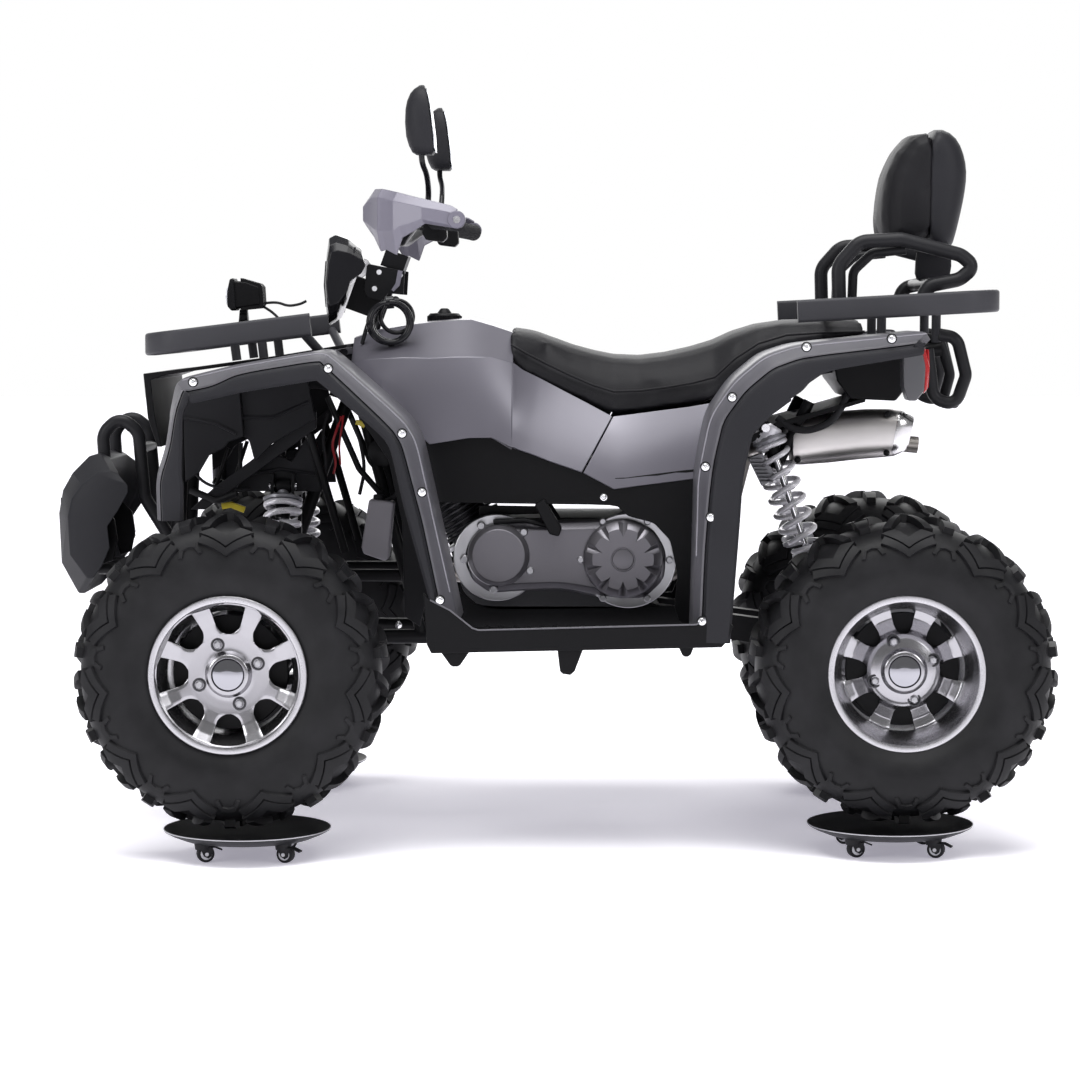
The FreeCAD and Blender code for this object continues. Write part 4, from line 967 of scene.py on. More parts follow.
def coil(foot, head, start, end, radius, turns, wire):
    """Spring wire: a helix round the line from foot to head, at (radius cos a, radius sin a) square to it,
    climbing evenly between two distances with a flat half turn at each end."""
    foot = np.asarray(foot, float)
    way = np.asarray(head, float) - foot
    way = unit(way)
    side = np.cross(way, (0, 1, 0.2))
    side = unit(side)
    other = np.cross(way, side)
    steps = int(turns * 20)
    angle = np.linspace(0, 2 * math.pi * turns, steps)[:, None]
    climb = np.clip((angle / (2 * math.pi) - 0.45) / (turns - 0.9), 0, 1)
    along = way * (start + (end - start) * climb)
    path = foot + along + side * radius * np.cos(angle) + other * radius * np.sin(angle)
    return carried(path, round_section(wire, 10), way)


def coil_shock(name, node, foot, head, damper, spring, start, end, turns, wire, eye_way):
    """Left and right shock: damper, rod, cups, coil and eyes."""
    foot = at(*foot)
    head = at(*head)
    way = head - foot
    total = float(np.linalg.norm(way))
    tube_form = spun([(0, 0), (0, 9), (10, 11), (16, damper), (start - 6, damper), (start - 5, 0)], foot, way)
    low_cup = spun([(start - 12, 8), (start - 12, spring - 2), (start - 8, spring + 3),
                    (start - 1, spring + 3), (start - 1, 8)], foot, way, 40)
    high_cup = spun([(end + 1, 6), (end + 1, spring + 4), (end + 6, spring + 4), (end + 10, spring - 4),
                     (end + 16, damper * 0.8), (total - 6, 9), (total - 6, 6)], foot, way, 40)
    rod_form = spun([(start - 8, 0), (start - 8, 7), (total - 4, 7), (total - 4, 0)], foot, way, 20)
    buffer = spun([(end - 34, 7), (end - 34, 13), (end - 26, 15), (end - 16, 13), (end - 6, 15), (end, 13),
                   (end, 7)], foot, way, 24)
    eyes = [spun([(-15, 5), (-15, 12), (-12, 13.5), (12, 13.5), (15, 12), (15, 5)], place, eye_way, 28)
            for place in (foot, head)]
    pins = [spun([(-27, 0), (-27, 8), (-21, 8.5), (-20, 5.5), (20, 5.5), (21, 8.5), (26, 8), (27, 0)],
                 place, eye_way, 12) for place in (foot, head)]
    wire_form = coil(foot, head, start + wire, end - wire, spring - wire * 0.4, turns, wire)
    on_chassis(name + "_damper", pairs([tube_form, buffer] + eyes), BLACK_STEEL, "steel_black", node)
    on_chassis(name + "_rod", pairs([rod_form] + pins), CHROME, "steel", node)
    on_chassis(name + "_cups", pairs([low_cup, high_cup]), SPRING_CUP, "spring", node)
    on_chassis(name + "_coil", [both(wire_form)], SPRING_WIRE, "spring", node, smooth=60)


CHROME = metal("chromed_rod", (0.86, 0.86, 0.88), 0.12, grain=60)
SPRING_WIRE = coated("silver_spring_coat", (0.74, 0.73, 0.77), 0.28, 500, 0.0002, 0.08, 0.25, Coat_Weight=0.3)
SPRING_CUP = coated("grey_spring_cup", (0.34, 0.34, 0.37), 0.35, 500, 0.0002, 0.1, 0.5)
coil_shock("front_shock", "front_shocks", (66, -272, 352), (66, -172, 668), 16, 34, 176, 300, 5.5,
           6, (1, 0, 0))
coil_shock("rear_shock", "rear_shocks", (1105, -160, 455), (990, -160, 780), 19, 29, 96, 316, 7.5,
           5.5, (0, 1, 0))

# Engine

FRONT_COVER_MIDDLE = (480, 536)
REAR_COVER_MIDDLE = (718, 530)
REAR_FLANGE_MIDDLE = (728, 525)
BOSS_RING = 85
CAST_DARK = coated("dark_engine_casting", (0.055, 0.055, 0.06), 0.42, 380, 0.0006, 0.15, 0.6)
COVER_GREY = coated("grey_drive_cover", (0.145, 0.14, 0.155), 0.36, 420, 0.0003, 0.1, 0.7)
COVER_RIM = metal("bright_cover_rim", (0.50, 0.50, 0.52), 0.30, grain=200)
CASE_OUTLINE = [(395, 520), (410, 462), (455, 424), (735, 428), (765, 446), (815, 478), (812, 560),
                (760, 606), (560, 606), (470, 600), (405, 585)]
BELT_OUTLINE = [(418, 530), (426, 488), (462, 462), (520, 466), (600, 470), (690, 450), (760, 446),
                (800, 486), (804, 545), (778, 592), (722, 612), (660, 603), (545, 601),
                (470, 598), (430, 568)]


def drive_cover(centre, near, reach, radius, face, notches, depth, hub):
    """Round cover: a flat face with pointed notches, a triangle wave about the centre, and a sloping side."""
    angle = full_turn(240)[:, None]
    phase = np.abs((angle * notches / (2 * math.pi)) % 1 - 0.5) * 2
    notch = depth * np.clip(phase * 2.4 - 1.4, 0, 1) if notches else 0 * angle
    rows = [(0, radius, 0), (reach * 0.3, radius, 0), (reach * 0.42, radius * 0.985, 0),
            (reach * 0.55, radius * 0.95, 0.1), (reach * 0.96, face, 1), (reach, face - 1.5, 1)]
    if hub:
        rows += [(reach, hub * 1.12, 0), (reach * 0.9, hub * 1.08, 0), (reach * 0.9, hub * 0.98, 0),
                 (reach * 1.06, hub * 0.92, 0), (reach * 1.08, hub * 0.8, 0)]
    rows += [(reach * (1.08 if hub else 1.0), 0.0, 0), (0, 0.0, 0)]
    rows = np.array(rows, float)[None]
    around = rows[..., 1] - notch * rows[..., 2]
    back = centre[0] + around * np.sin(angle)
    height = centre[1] + around * np.cos(angle)
    side = np.broadcast_to(near - rows[..., 0], back.shape)
    return ring_form(at(back, side, height))


def ring_at(centre, near, far, inner, outer):
    """Flat ring facing the side, with a small chamfer at its outer edge."""
    return spun([(0, inner), (0, outer), (near - far - 1.5, outer), (near - far, outer - 1.5),
                 (near - far, inner)], at(centre[0], near, centre[1]), OUT_LEFT, 96)


on_chassis("crankcase", [extruded(softened_loop(CASE_OUTLINE, 0.2, 3), -152, 140)], CAST_DARK,
           "engine_metal", "engine", bevel=4)
belt_loop = softened_loop(BELT_OUTLINE, 0.3, 4)
belt_middle = np.array([615, 532])
belt_rows = []
for side, share in ((-146, (1, 1)), (-168, (1, 1)), (-176, (0.985, 0.94)), (-184, (0.95, 0.76))):
    outline = belt_middle + (belt_loop - belt_middle) * share
    belt_rows.append(at(outline[:, 0], side, outline[:, 1]))
on_chassis("belt_case", [capped(belt_rows)], COVER_GREY, "engine_metal", "engine", bevel=1.5, smooth=25)
lugs_on_case = [spun([(0, 0), (0, 8), (16, 8), (18, 6), (18, 0)], at(back, -168, height), OUT_LEFT, 16)
                for back, height in ((446, 592), (528, 580), (540, 506), (414, 528), (470, 470))]
on_chassis("case_screws", lugs_on_case, BARE_STEEL, "engine_metal", "engine", smooth=30)
front_flange = ring_at(FRONT_COVER_MIDDLE, -170, -182, 50, 61)
rear_flange = ring_at(REAR_FLANGE_MIDDLE, -162, -176, 60, 91)
bosses = [spun([(0, 0), (0, 7), (12, 7), (14, 5), (14, 0)],
               at(722 + BOSS_RING * math.sin(turn), -172, 527 + BOSS_RING * math.cos(turn)), OUT_LEFT, 14)
          for turn in np.radians(np.arange(30, 390, 60))]
on_chassis("belt_case_flanges", [front_flange, rear_flange], COVER_RIM, "engine_metal", "engine")
on_chassis("belt_case_bolts", bosses, BARE_STEEL, "engine_metal", "engine", smooth=30)
on_chassis("front_drive_cover", [drive_cover(FRONT_COVER_MIDDLE, -184, 20, 59, 51, 0, 0, 0)], COVER_GREY,
           "engine_metal", "engine", smooth=22)
on_chassis("rear_drive_cover", [drive_cover(REAR_COVER_MIDDLE, -184, 28, 76, 60, 10, 17, 21)], COVER_GREY,
           "engine_metal", "engine", smooth=22)
foot = at(430, 0, 560)
way = at(350, 0, 690) - foot
way = unit(way)
barrel_form = spun([(0, 0), (0, 46), (118, 46), (130, 40), (130, 0)], foot, way)
fins = [spun([(start, 40), (start, 66), (start + 1, 68), (start + 4, 68), (start + 5, 66), (start + 5, 40)],
             foot, way, 48) for start in range(18, 118, 11)]
joint_flange = spun([(0, 40), (0, 74), (9, 74), (9, 40)], foot, way, 48)
upper_flange = spun([(122, 40), (122, 62), (127, 62), (127, 40)], foot, way, 48)
on_chassis("cylinder_flanges", [joint_flange, upper_flange], COVER_RIM, "engine_metal", "engine", bevel=1)
lower_case = ring_at((476, 530), -150, -166, 60, 84)
on_chassis("lower_case_rim", [lower_case], COVER_RIM, "engine_metal", "engine", bevel=2)
head_form = spun([(114, 0), (114, 58), (122, 60), (132, 56), (140, 34), (140, 0)], foot, way, 6)
on_chassis("finned_cylinder", [barrel_form] + fins, CAST_DARK, "engine_metal", "engine", smooth=30)
on_chassis("cylinder_head", [head_form], CAST_DARK, "engine_metal", "engine", bevel=2)
intake = carried(bent([at(400, -30, 640), at(440, -60, 668), at(520, -70, 672), at(600, -50, 668)], 40),
                 round_section(21, 24))
clamps = [spun([(0, 21), (0, 24.5), (9, 24.5), (9, 21)], at(back, side, height), (1, -0.1, 0), 28)
          for back, side, height in ((452, -62, 668), (560, -62, 670))]
on_chassis("intake_hose", [intake], HOSE_RUBBER, "rubber", "engine", smooth=50)
on_chassis("intake_clamps", clamps, BARE_STEEL, "steel", "engine")
pedal = extruded([(549, 634), (568, 645), (601, 590), (596, 574), (578, 578)], -216, -182)
on_chassis("gear_lever", [pedal], BLACK_STEEL, "steel_black", "engine", bevel=3)

# Silencer

SILENCER_SIDE = -114
CAN_STEPS = 48


def can_section():
    """Rounded square of half size 1: (cos^0.6 a, sin^0.6 a), the powers keeping their signs."""
    turn = full_turn(CAN_STEPS)[None]
    return squared(np.cos(turn), 0.6), squared(np.sin(turn), 0.6)


def silencer_can():
    """Can of rounded square section: each station is as tall as the table says and 52/49 of that wide,
    round a rising middle line, and leans backwards the more the further back it is."""
    back = np.array([1040, 1044, 1060, 1115, 1180, 1228, 1246])
    middle = np.array([752, 752, 754, 760, 766, 768, 768])
    tall = np.array([38, 44, 47, 49, 48, 46, 44])
    across, rise = can_section()
    height = middle[:, None] + tall[:, None] * rise
    slant = (back[:, None] - 1040) / 206 * rise * 7
    points = at(back[:, None] + slant, SILENCER_SIDE + 52 * (tall[:, None] / 49) * across, height)
    return capped(points)


def silencer_cap():
    """Tapered end cap: the can's section drawn in towards the outlet."""
    back = np.array([1238, 1246, 1262, 1270])
    share = np.array([1.02, 1.02, 0.86, 0.72])
    across, rise = can_section()
    points = at(back[:, None] + rise * 7, SILENCER_SIDE + 48 * share[:, None] * across,
                768 + 43 * share[:, None] * rise)
    return capped(points)


POLISHED = metal("polished_end_cap", (0.70, 0.69, 0.70), 0.2, grain=80)
PIPE = metal("heat_tinted_pipe", (0.34, 0.32, 0.30), 0.38, grain=150)
on_chassis("silencer_can", [silencer_can()], MATERIALS["silencer"], "silencer", "exhaust", smooth=40)
on_chassis("silencer_cap", [silencer_cap()], POLISHED, "silencer", "exhaust", smooth=40)
outlet = spun([(0, 11), (0, 16), (30, 16), (31, 14), (30, 11)], at(1256, SILENCER_SIDE, 748),
              (1, 0, -0.1), 28)
on_chassis("silencer_outlet", [outlet], PIPE, "silencer", "exhaust")
PIPE_POINTS = [(395, 60, 640), (300, 120, 640), (330, 158, 480), (500, 172, 460), (820, 172, 470),
               (935, 150, 610), (960, 40, 735), (1000, -60, 748), (1080, -100, 748)]
pipe_path = bent(placed(PIPE_POINTS), 60)
on_chassis("exhaust_pipe", [carried(pipe_path, round_section(19, 24), (0, 0.2, 1))], PIPE, "silencer",
           "exhaust", smooth=60)
cap_bolts = [bolt(at(back, -164, height), OUT_LEFT, 4.5)
             for back, height in ((1052, 790), (1052, 718), (1224, 806), (1222, 732))]
on_chassis("silencer_bolts", cap_bolts, BLACK_STEEL, "steel_black", "exhaust")

# Finishes of the smaller pieces

LINER = coated("black_liner_sheet", (0.012, 0.012, 0.014), 0.5, 500, 0.0004, 0.2)
RED_LEAD = coated("red_lead", (0.30, 0.01, 0.015), 0.45, 300, 0.0002)
YELLOW_PLUG = coated("yellow_plug", (0.45, 0.36, 0.02), 0.45, 300, 0.0002)
BOTTLE = coated("grey_bottle", (0.22, 0.21, 0.235), 0.5, 300, 0.0003, 0.12)
TUBE_BLACK = coated("black_tube_coat", (0.016, 0.016, 0.018), 0.36, 600, 0.0003, 0.2)
LAMP_GREY = coated("grey_lamp_housing", (0.075, 0.075, 0.082), 0.35, 400, 0.0002, 0.1)
LENS_GLASS = coated("white_lamp_lens", (0.72, 0.73, 0.78), 0.08, 60, 0.0001, 0.06, Coat_Weight=1.0)
DARK_GLASS = coated("dark_lamp_lens", (0.03, 0.03, 0.036), 0.12, 60, 0.0001, 0.06, Coat_Weight=0.6)
LAVENDER = coated("lavender_grey_guard", (0.145, 0.138, 0.175), 0.4, 700, 0.0002, 0.06, 0.15, Coat_Weight=0.2)
MIRROR_GLASS = metal("mirror_glass", (0.72, 0.74, 0.78), 0.1, grain=20)
PLATE_BLACK = coated("black_plate_coat", (0.014, 0.014, 0.016), 0.38, 500, 0.0003, 0.2)
ROLLER_WHITE = coated("white_roller_hub", (0.62, 0.62, 0.65), 0.4, 300, 0.0002, 0.08)

# Nose, wheel arch liners, leads, coolant bottle and bumper


def mould(name, outline, sides, material, node, bevel=2.0, middle=None, body="chassis",
          slot="plastic_black", smooth=30):
    """Moulding with a side outline of stations and heights; each of its sides gives a side distance, a shift
    backwards and a share of the outline's height about its middle."""
    outline = np.asarray(outline, float)
    middle = outline[:, 1].mean() if middle is None else middle
    rows = [at(outline[:, 0] + shift, side, middle + (outline[:, 1] - middle) * share)
            for side, shift, share in sides]
    form = capped(rows)
    piece(name, [form], material, body, slot, (node,), bevel=bevel, smooth=smooth)


COWL_OUTLINE = [(-194, 884), (-186, 800), (-168, 745), (-160, 745), (-172, 800), (-180, 872), (-150, 882),
                (60, 911), (193, 933), (193, 940), (60, 918), (-150, 889)]
on_chassis("nose_panel", [extruded(COWL_OUTLINE, -226, 226)], NEAR_BLACK, "plastic_black", "nose_cowl",
           bevel=1.5)
LINERS = [
    # outline of stations and heights, near and far side distance
    ([(-122, 868), (-15, 884), (-5, 764), (-34, 754), (-44, 742), (-71, 728), (-90, 696), (-117, 677)],
     -212, -206),
    ([(-15, 884), (111, 898), (131, 798), (48, 750), (14, 715), (4, 754), (-5, 764)], -198, -192),
    ([(131, 813), (131, 779), (24, 701), (-83, 623), (-112, 623), (-64, 667), (4, 716)], -186, -172),
    ([(-20, 657), (-15, 696), (14, 715), (58, 725), (82, 715), (111, 764), (131, 725), (140, 657)],
     -164, -150),
    ([(205, 860), (300, 760), (330, 600), (345, 470), (330, 400), (300, 420), (296, 600), (270, 720),
      (215, 800)], -206, -198),
]
FOLD_LINES = [
    # stations, side distance, heights
    ([-118, -60, -20], -213, [800, 790, 770]), ([-10, 50, 118], -199, [800, 800, 830]),
    ([0, 60, 128], -165, [690, 700, 690]),
]
folds = [carried(at(back, side, height), round_section(3.5, 8), (0, 1, 0.1))
         for back, side, height in FOLD_LINES]
liners = [extruded(outline, near, far) for outline, near, far in LINERS]
on_chassis("wheel_arch_liners", pairs(liners), LINER, "plastic_black", "nose_cowl", bevel=2)
on_chassis("liner_ribs", pairs(folds), LINER, "plastic_black", "nose_cowl")
STRUTS = [
    ([(116, -176, 774), (184, -168, 540)], 8), ([(-40, -160, 740), (-64, -160, 668)], 4),
    ([(-16, -160, 750), (-20, -160, 662)], 4), ([(150, -150, 838), (210, -150, 700), (262, -150, 640)], 6),
    ([(-112, -178, 660), (-60, -190, 640), (-20, -196, 655)], 7),
]
struts = [carried(bent(placed(line), 20), round_section(radius, 14), (0, 1, 0.1))
          for line, radius in STRUTS]
on_chassis("front_stays", pairs(struts), BLACK_STEEL, "steel_black", "nose_cowl")
horn = spun([(0, 0), (0, 24), (6, 27), (14, 27), (18, 20), (20, 0)], at(255, -140, 732), OUT_LEFT, 36)
on_chassis("horn_disc", [horn], BLACK_STEEL, "steel_black", "nose_cowl")


def lead(points, radius):
    """Soft lead: a line through its points with softened corners."""
    return carried(at(*softened(points, 0.45, 5).T), round_section(radius, 8), (0.05, 1, 0.05))


red = [lead([(176, -150, 800), (166, -160, 770), (158, -158, 745), (166, -150, 712), (160, -140, 690)], 2.4),
       lead([(180, -148, 802), (176, -158, 768), (172, -156, 742), (174, -148, 708)], 2.0)]
black = [lead([(150, -150, 806), (140, -166, 770), (150, -170, 700), (132, -150, 660)], 3.0),
         lead([(196, -150, 796), (212, -158, 760), (222, -150, 700), (210, -140, 650)], 3.5),
         lead([(-110, -180, 700), (-80, -190, 670), (-30, -180, 660), (20, -150, 664)], 3.0)]
on_chassis("red_leads", red, RED_LEAD, "rubber", "nose_cowl")
on_chassis("black_leads", black, HOSE_RUBBER, "rubber", "nose_cowl")
plugs = [carried(at([-52, -34, -8], [-176] * 3, [629, 632, 622]), box_section(12, 9, 2), (0, 1, 0.1)),
         carried(at([205, 214, 222], [-160] * 3, [790, 788, 782]), box_section(10, 7, 2), (0, 1, 0.1))]
on_chassis("yellow_plugs", plugs, YELLOW_PLUG, "plastic_black", "nose_cowl")
BOTTLE_OUTLINE = [(233, 644), (281, 639), (277, 600), (270, 530), (262, 526), (222, 540), (218, 552)]
on_chassis("coolant_box", [extruded(BOTTLE_OUTLINE, -208, -158)], BOTTLE, "plastic_black", "coolant_bottle",
           bevel=6)
bottle_cap = spun([(0, 0), (0, 11), (10, 11), (12, 9), (12, 0)], at(250, -180, 640), (0.05, 0, 1), 20)
bottle_hose = lead([(262, -180, 640), (285, -176, 650), (300, -170, 690)], 4)
on_chassis("coolant_cap", [bottle_cap, bottle_hose], HOSE_RUBBER, "rubber", "coolant_bottle")

GUARD_OUTLINE = [(-378, 611), (-370, 655), (-350, 690), (-318, 722), (-296, 727), (-276, 716), (-276, 690),
                 (-296, 631), (-316, 582), (-312, 513), (-328, 454), (-342, 454), (-374, 513)]
GUARD_SIDES = [(-170, 44, 0.60), (-160, 26, 0.76), (-104, 0, 1.0), (104, 0, 1.0), (160, 26, 0.76),
               (170, 44, 0.60)]
mould("bumper_moulding", GUARD_OUTLINE, GUARD_SIDES, FLARE, "bumper_guard", 3.0, 600)
recess = [extruded([(-377, 570), (-377, 640), (-371, 640), (-371, 570)], side, side + 34)
          for side in (-92, -46, 12, 58)]
inner_lip = extruded([(-308, 640), (-296, 628), (-268, 600), (-262, 560), (-270, 520), (-292, 512),
                      (-306, 560)], -120, -112)
on_chassis("bumper_inner_plates", [both(inner_lip)], NEAR_BLACK, "plastic_black", "bumper_guard", bevel=2)


def tube_run(points, radius, bend=30):
    """Bent tube through points, in stations."""
    return carried(bent(placed(points), bend, 8), round_section(radius, 20), (0.02, 1, 0.02))


hoop_tube = tube_run([(-292, -74, 700), (-296, -74, 765), (-262, -74, 797), (-226, -74, 768),
                      (-215, -74, 640), (-166, -74, 560)], 12.5, 34)
hoop_parts = [hoop_tube, flipped(hoop_tube), tube_run([(-306, -74, 500), (-150, -74, 500)], 11),
              tube_run([(-306, 74, 500), (-150, 74, 500)], 11)]
hoop_cross = carried(at([-222, -222], [-74, 74], [735, 735]), round_section(11, 16))
on_chassis("bumper_tubes", hoop_parts + [hoop_cross], TUBE_BLACK, "steel_black", "bumper_hoop", smooth=50)

# Hand rails, rear bumper, tail lamps and what hangs behind

rail = tube_run([(1124, -236, 1016), (1122, -236, 1088), (1162, -236, 1133), (1240, -236, 1137),
                 (1352, -236, 1108), (1378, -236, 1086), (1350, -236, 1062), (1290, -236, 1050),
                 (1280, -236, 1022)], 13.5, 36)
inner_rail = tube_run([(1150, -208, 1016), (1152, -208, 1078), (1188, -212, 1112), (1250, -222, 1118)], 9, 26)
rail_cross = carried(at([1306, 1306], [-236, 236], [1055, 1055]), round_section(11, 16))
on_chassis("hand_rails", [both(rail), both(inner_rail), rail_cross], TUBE_BLACK, "steel_black", "grab_bars",
           smooth=50)
loop = tube_run([(1322, -150, 958), (1356, -150, 952), (1374, -150, 880), (1354, -150, 822),
                 (1312, -150, 836), (1300, -150, 930)], 12, 26)
second = tube_run([(1304, -92, 950), (1330, -92, 946), (1350, -92, 880), (1336, -92, 828)], 10, 24)
rear_cross = carried(at([1352, 1352], [-150, 150], [826, 826]), round_section(9.5, 14))
rear_stay = carried(at([1300, 1300], [-150, -112], [925, 925]), round_section(9, 14))
on_chassis("rear_loops", [both(loop), both(second), both(rear_stay), rear_cross], TUBE_BLACK, "steel_black",
           "rear_bumper", smooth=50)
housing = [(1230, 944), (1262, 946), (1272, 900), (1270, 856), (1256, 838), (1240, 838), (1232, 864)]
lens = [(1262, 944), (1270, 940), (1280, 900), (1276, 858), (1268, 850), (1270, 880), (1268, 912)]
for name, outline, near, far, finish in (("lamp_housings", housing, -390, -322, LAMP_GREY),
                                         ("lamp_lenses", lens, -386, -326, TAIL_RED)):
    form = extruded(outline, near, far)
    on_chassis(name, [both(form)], finish, "tail_lens" if "lens" in name else "plastic_black", "tail_lamps",
               bevel=3)
lamp_ribs = [extruded([(1279, 862), (1281, 900), (1279, 932), (1277, 932), (1278, 900), (1276, 862)], side,
                      side + 2) for side in range(-376, -334, 8)]
on_chassis("lens_ribs", pairs(lamp_ribs), TAIL_RED, "tail_lens", "tail_lamps")
under_box = extruded([(1110, 936), (1252, 942), (1250, 850), (1236, 832), (1150, 836),
                      (1124, 870)], -196, 196)
on_chassis("tail_underside", [under_box], NEAR_BLACK, "plastic_black", bevel=4)
regulator = extruded([(957, 722), (984, 732), (1011, 684), (984, 668)], -172, -140)
blades = []
for step in np.arange(0.06, 0.95, 0.13):
    corners = ((step, 0), (step, 6), (step + 0.05, 6), (step + 0.05, 0))
    outline = [(957 + 27 * share + 4 * along, 722 - 54 * share + 2) for share, along in corners]
    blades.append(extruded(outline, -184, -170))
on_chassis("voltage_regulator", [regulator] + blades, MATERIALS["engine_metal"], "engine_metal", bevel=1)
canister = spun([(0, 0), (0, 17), (4, 20), (46, 20), (50, 17), (50, 0)], at(980, -160, 742),
                (0.5, 0, 0.8), 32)
bands = [spun([(start, 19), (start, 22), (start + 5, 22), (start + 5, 19)], at(980, -160, 742),
              (0.5, 0, 0.8), 32) for start in (8, 20, 32)]
on_chassis("shock_canister", [canister] + bands, SPRING_WIRE, "spring", "rear_shocks")
rear_hose = lead([(1012, -168, 800), (1040, -172, 778), (1075, -172, 774), (1118, -172, 792),
                  (1146, -168, 838), (1150, -160, 870)], 7)
rear_tube = tube_run([(1075, -150, 830), (1010, -150, 700)], 11)
on_chassis("breather_hose", [rear_hose], HOSE_RUBBER, "rubber", smooth=60)
on_chassis("rear_brace", [both(rear_tube)], BLACK_STEEL, "steel_black")

# Work lamp

mould("work_lamp_body", [(-46, 1062), (-20, 1060), (6, 1050), (8, 1014), (-42, 1006)],
      [(-30, 0, 0.9), (-27, 0, 1.0), (27, 0, 1.0), (30, 0, 0.9)], NEAR_BLACK, "spot_lamp", 3.0)
fin_forms = [extruded([(-30, 1067), (8, 1056), (13, 1050), (15, 1016), (10, 1008), (-30, 1004)], side - 1.6,
                      side + 1.6) for side in (-27, -18, -9, 0, 9, 18, 27)]
on_chassis("work_lamp_fins", fin_forms, NEAR_BLACK, "plastic_black", "spot_lamp")
bezel = [(-56, 1041), (-51, 1065), (-43, 1067), (-39, 1004), (-48, 1003), (-56, 1012)]
mould("work_lamp_bezel", bezel, [(-34, 0, 0.9), (-31, 0, 1.0), (31, 0, 1.0), (34, 0, 0.9)], BLACK_STEEL,
      "spot_lamp", 2.0)
side_glass = extruded([(-58, 1016), (-60, 1030), (-58, 1046), (-52, 1056), (-48, 1056), (-48, 1012)], -28, 28)
on_chassis("work_lamp_glass", [side_glass], LENS_GLASS, "plastic_gloss", "spot_lamp", bevel=3)
lamp_foot = [extruded([(-34, 1006), (-20, 1006), (-18, 985), (-10, 966), (-38, 966), (-36, 985)], -12, 12),
             spun([(-17, 0), (-17, 6), (-14, 8), (14, 8), (17, 6), (17, 0)], at(-27, 0, 990), (0, 1, 0), 20)]
on_chassis("work_lamp_foot", lamp_foot, BLACK_STEEL, "steel_black", "spot_lamp", bevel=1.5)
lamp_leads = [lead([(12, 0, 1018), (40, -6, 1020), (62, -14, 1012), (86, -20, 1016), (98, -24, 1022)], 2.6),
              lead([(10, 4, 1012), (30, 0, 1000), (50, -8, 980), (60, -10, 968)], 2.6)]
on_chassis("work_lamp_lead", lamp_leads, HOSE_RUBBER, "rubber", "spot_lamp")

# Fuel cap

cap_profile = [(0, 0), (0, 32), (3, 33), (16, 32), (20, 28), (21, 14), (28, 9), (30, 6), (30, 0)]
cap_grips = [spun([(4, 0), (4, 2.5), (17, 2.5), (17, 0)], at(368 + 32 * math.sin(a), 32 * math.cos(a), 976),
                  UPWARDS, 8) for a in full_turn(18)]
on_chassis("filler_cap", [spun(cap_profile, at(368, 0, 978), UPWARDS, 48)] + cap_grips, NEAR_BLACK,
           "plastic_black", "fuel_cap")

# Wheel dollies

CASTER_RING = 104


def dolly(back, side):
    """Dished plate on four casters, as lists: the plate, its edge, the steel parts, the rollers' tyres and
    the rollers' hubs with their axle caps."""
    plate = spun([(36, 0), (36, 122), (44, 142), (50, 153), (53, 153), (48, 140), (40, 120), (40, 0)],
                 at(back, side, 0), UPWARDS, 96)
    edge = spun([(51.6, 152.4), (51.6, 154), (53.5, 154), (53.5, 152.4)], at(back, side, 0), UPWARDS, 96)
    steel = []
    rollers = []
    for turn, lean in ((45, 200), (135, 160), (225, 20), (315, -20)):
        x = back + CASTER_RING * math.cos(math.radians(turn))
        y = side + CASTER_RING * math.sin(math.radians(turn))
        way = np.array([math.cos(math.radians(lean)), math.sin(math.radians(lean)), 0])
        axle = np.array([-way[1], way[0], 0])
        hub = at(x, y, 16) + way * 5
        steel.append(spun([(24, 0), (24, 14), (37, 16), (37, 0)], at(x, y, 0), UPWARDS, 24))
        cheek_outline = [(-12, 28), (12, 28), (9, 12), (3, 8), (-5, 12)]
        lengthways = np.array([[way[0], way[1], 0], [0, 0, 0], [0, 0, 1]])
        cheek = np.array([[along, 0, up - 16] for along, up in cheek_outline]) @ lengthways
        for sign in (-1, 1):
            rows = [hub + axle * sign * off + cheek for off in (9, 11)]
            steel.append(capped(rows))
        tab = [hub + way * along + np.array([0, 0, up]) for along, up in ((6, 12), (16, 12), (30, 6))]
        steel.append(carried(tab, box_section(14, 3, 1)))
        rollers.append((hub, axle))
    tyre_forms = [spun([(-7, 9), (-8, 12), (-7, 15.5), (-3, 16), (3, 16), (7, 15.5), (8, 12), (7, 9)], hub,
                       axle, 32) for hub, axle in rollers]
    hub_forms = [spun([(-8.3, 0), (-8.3, 10.5), (-6, 11), (6, 11), (8.3, 10.5), (8.3, 0)], hub, axle, 24)
                 for hub, axle in rollers]
    caps = [spun([(-12.5, 0), (-12.5, 3.4), (12.5, 3.4), (12.5, 0)], hub, axle, 16) for hub, axle in rollers]
    return [plate], [edge], steel, tyre_forms, hub_forms + caps


DOLLY_PLACES = [(24, -452), (24, 452), (1214, -378), (1214, 378)]
dolly_sets = [dolly(back, side) for back, side in DOLLY_PLACES]
for name, index, finish in (("dolly_plates", 0, PLATE_BLACK), ("dolly_plate_edges", 1, BARE_STEEL),
                            ("dolly_casters", 2, TUBE_BLACK), ("dolly_roller_tyres", 3, HOSE_RUBBER),
                            ("dolly_roller_hubs", 4, ROLLER_WHITE)):
    on_chassis(name, [form for parts in dolly_sets for form in parts[index]], finish, "steel_black",
               "wheel_dollies")

# Handlebar, guards, mirrors and lamp, which turn together

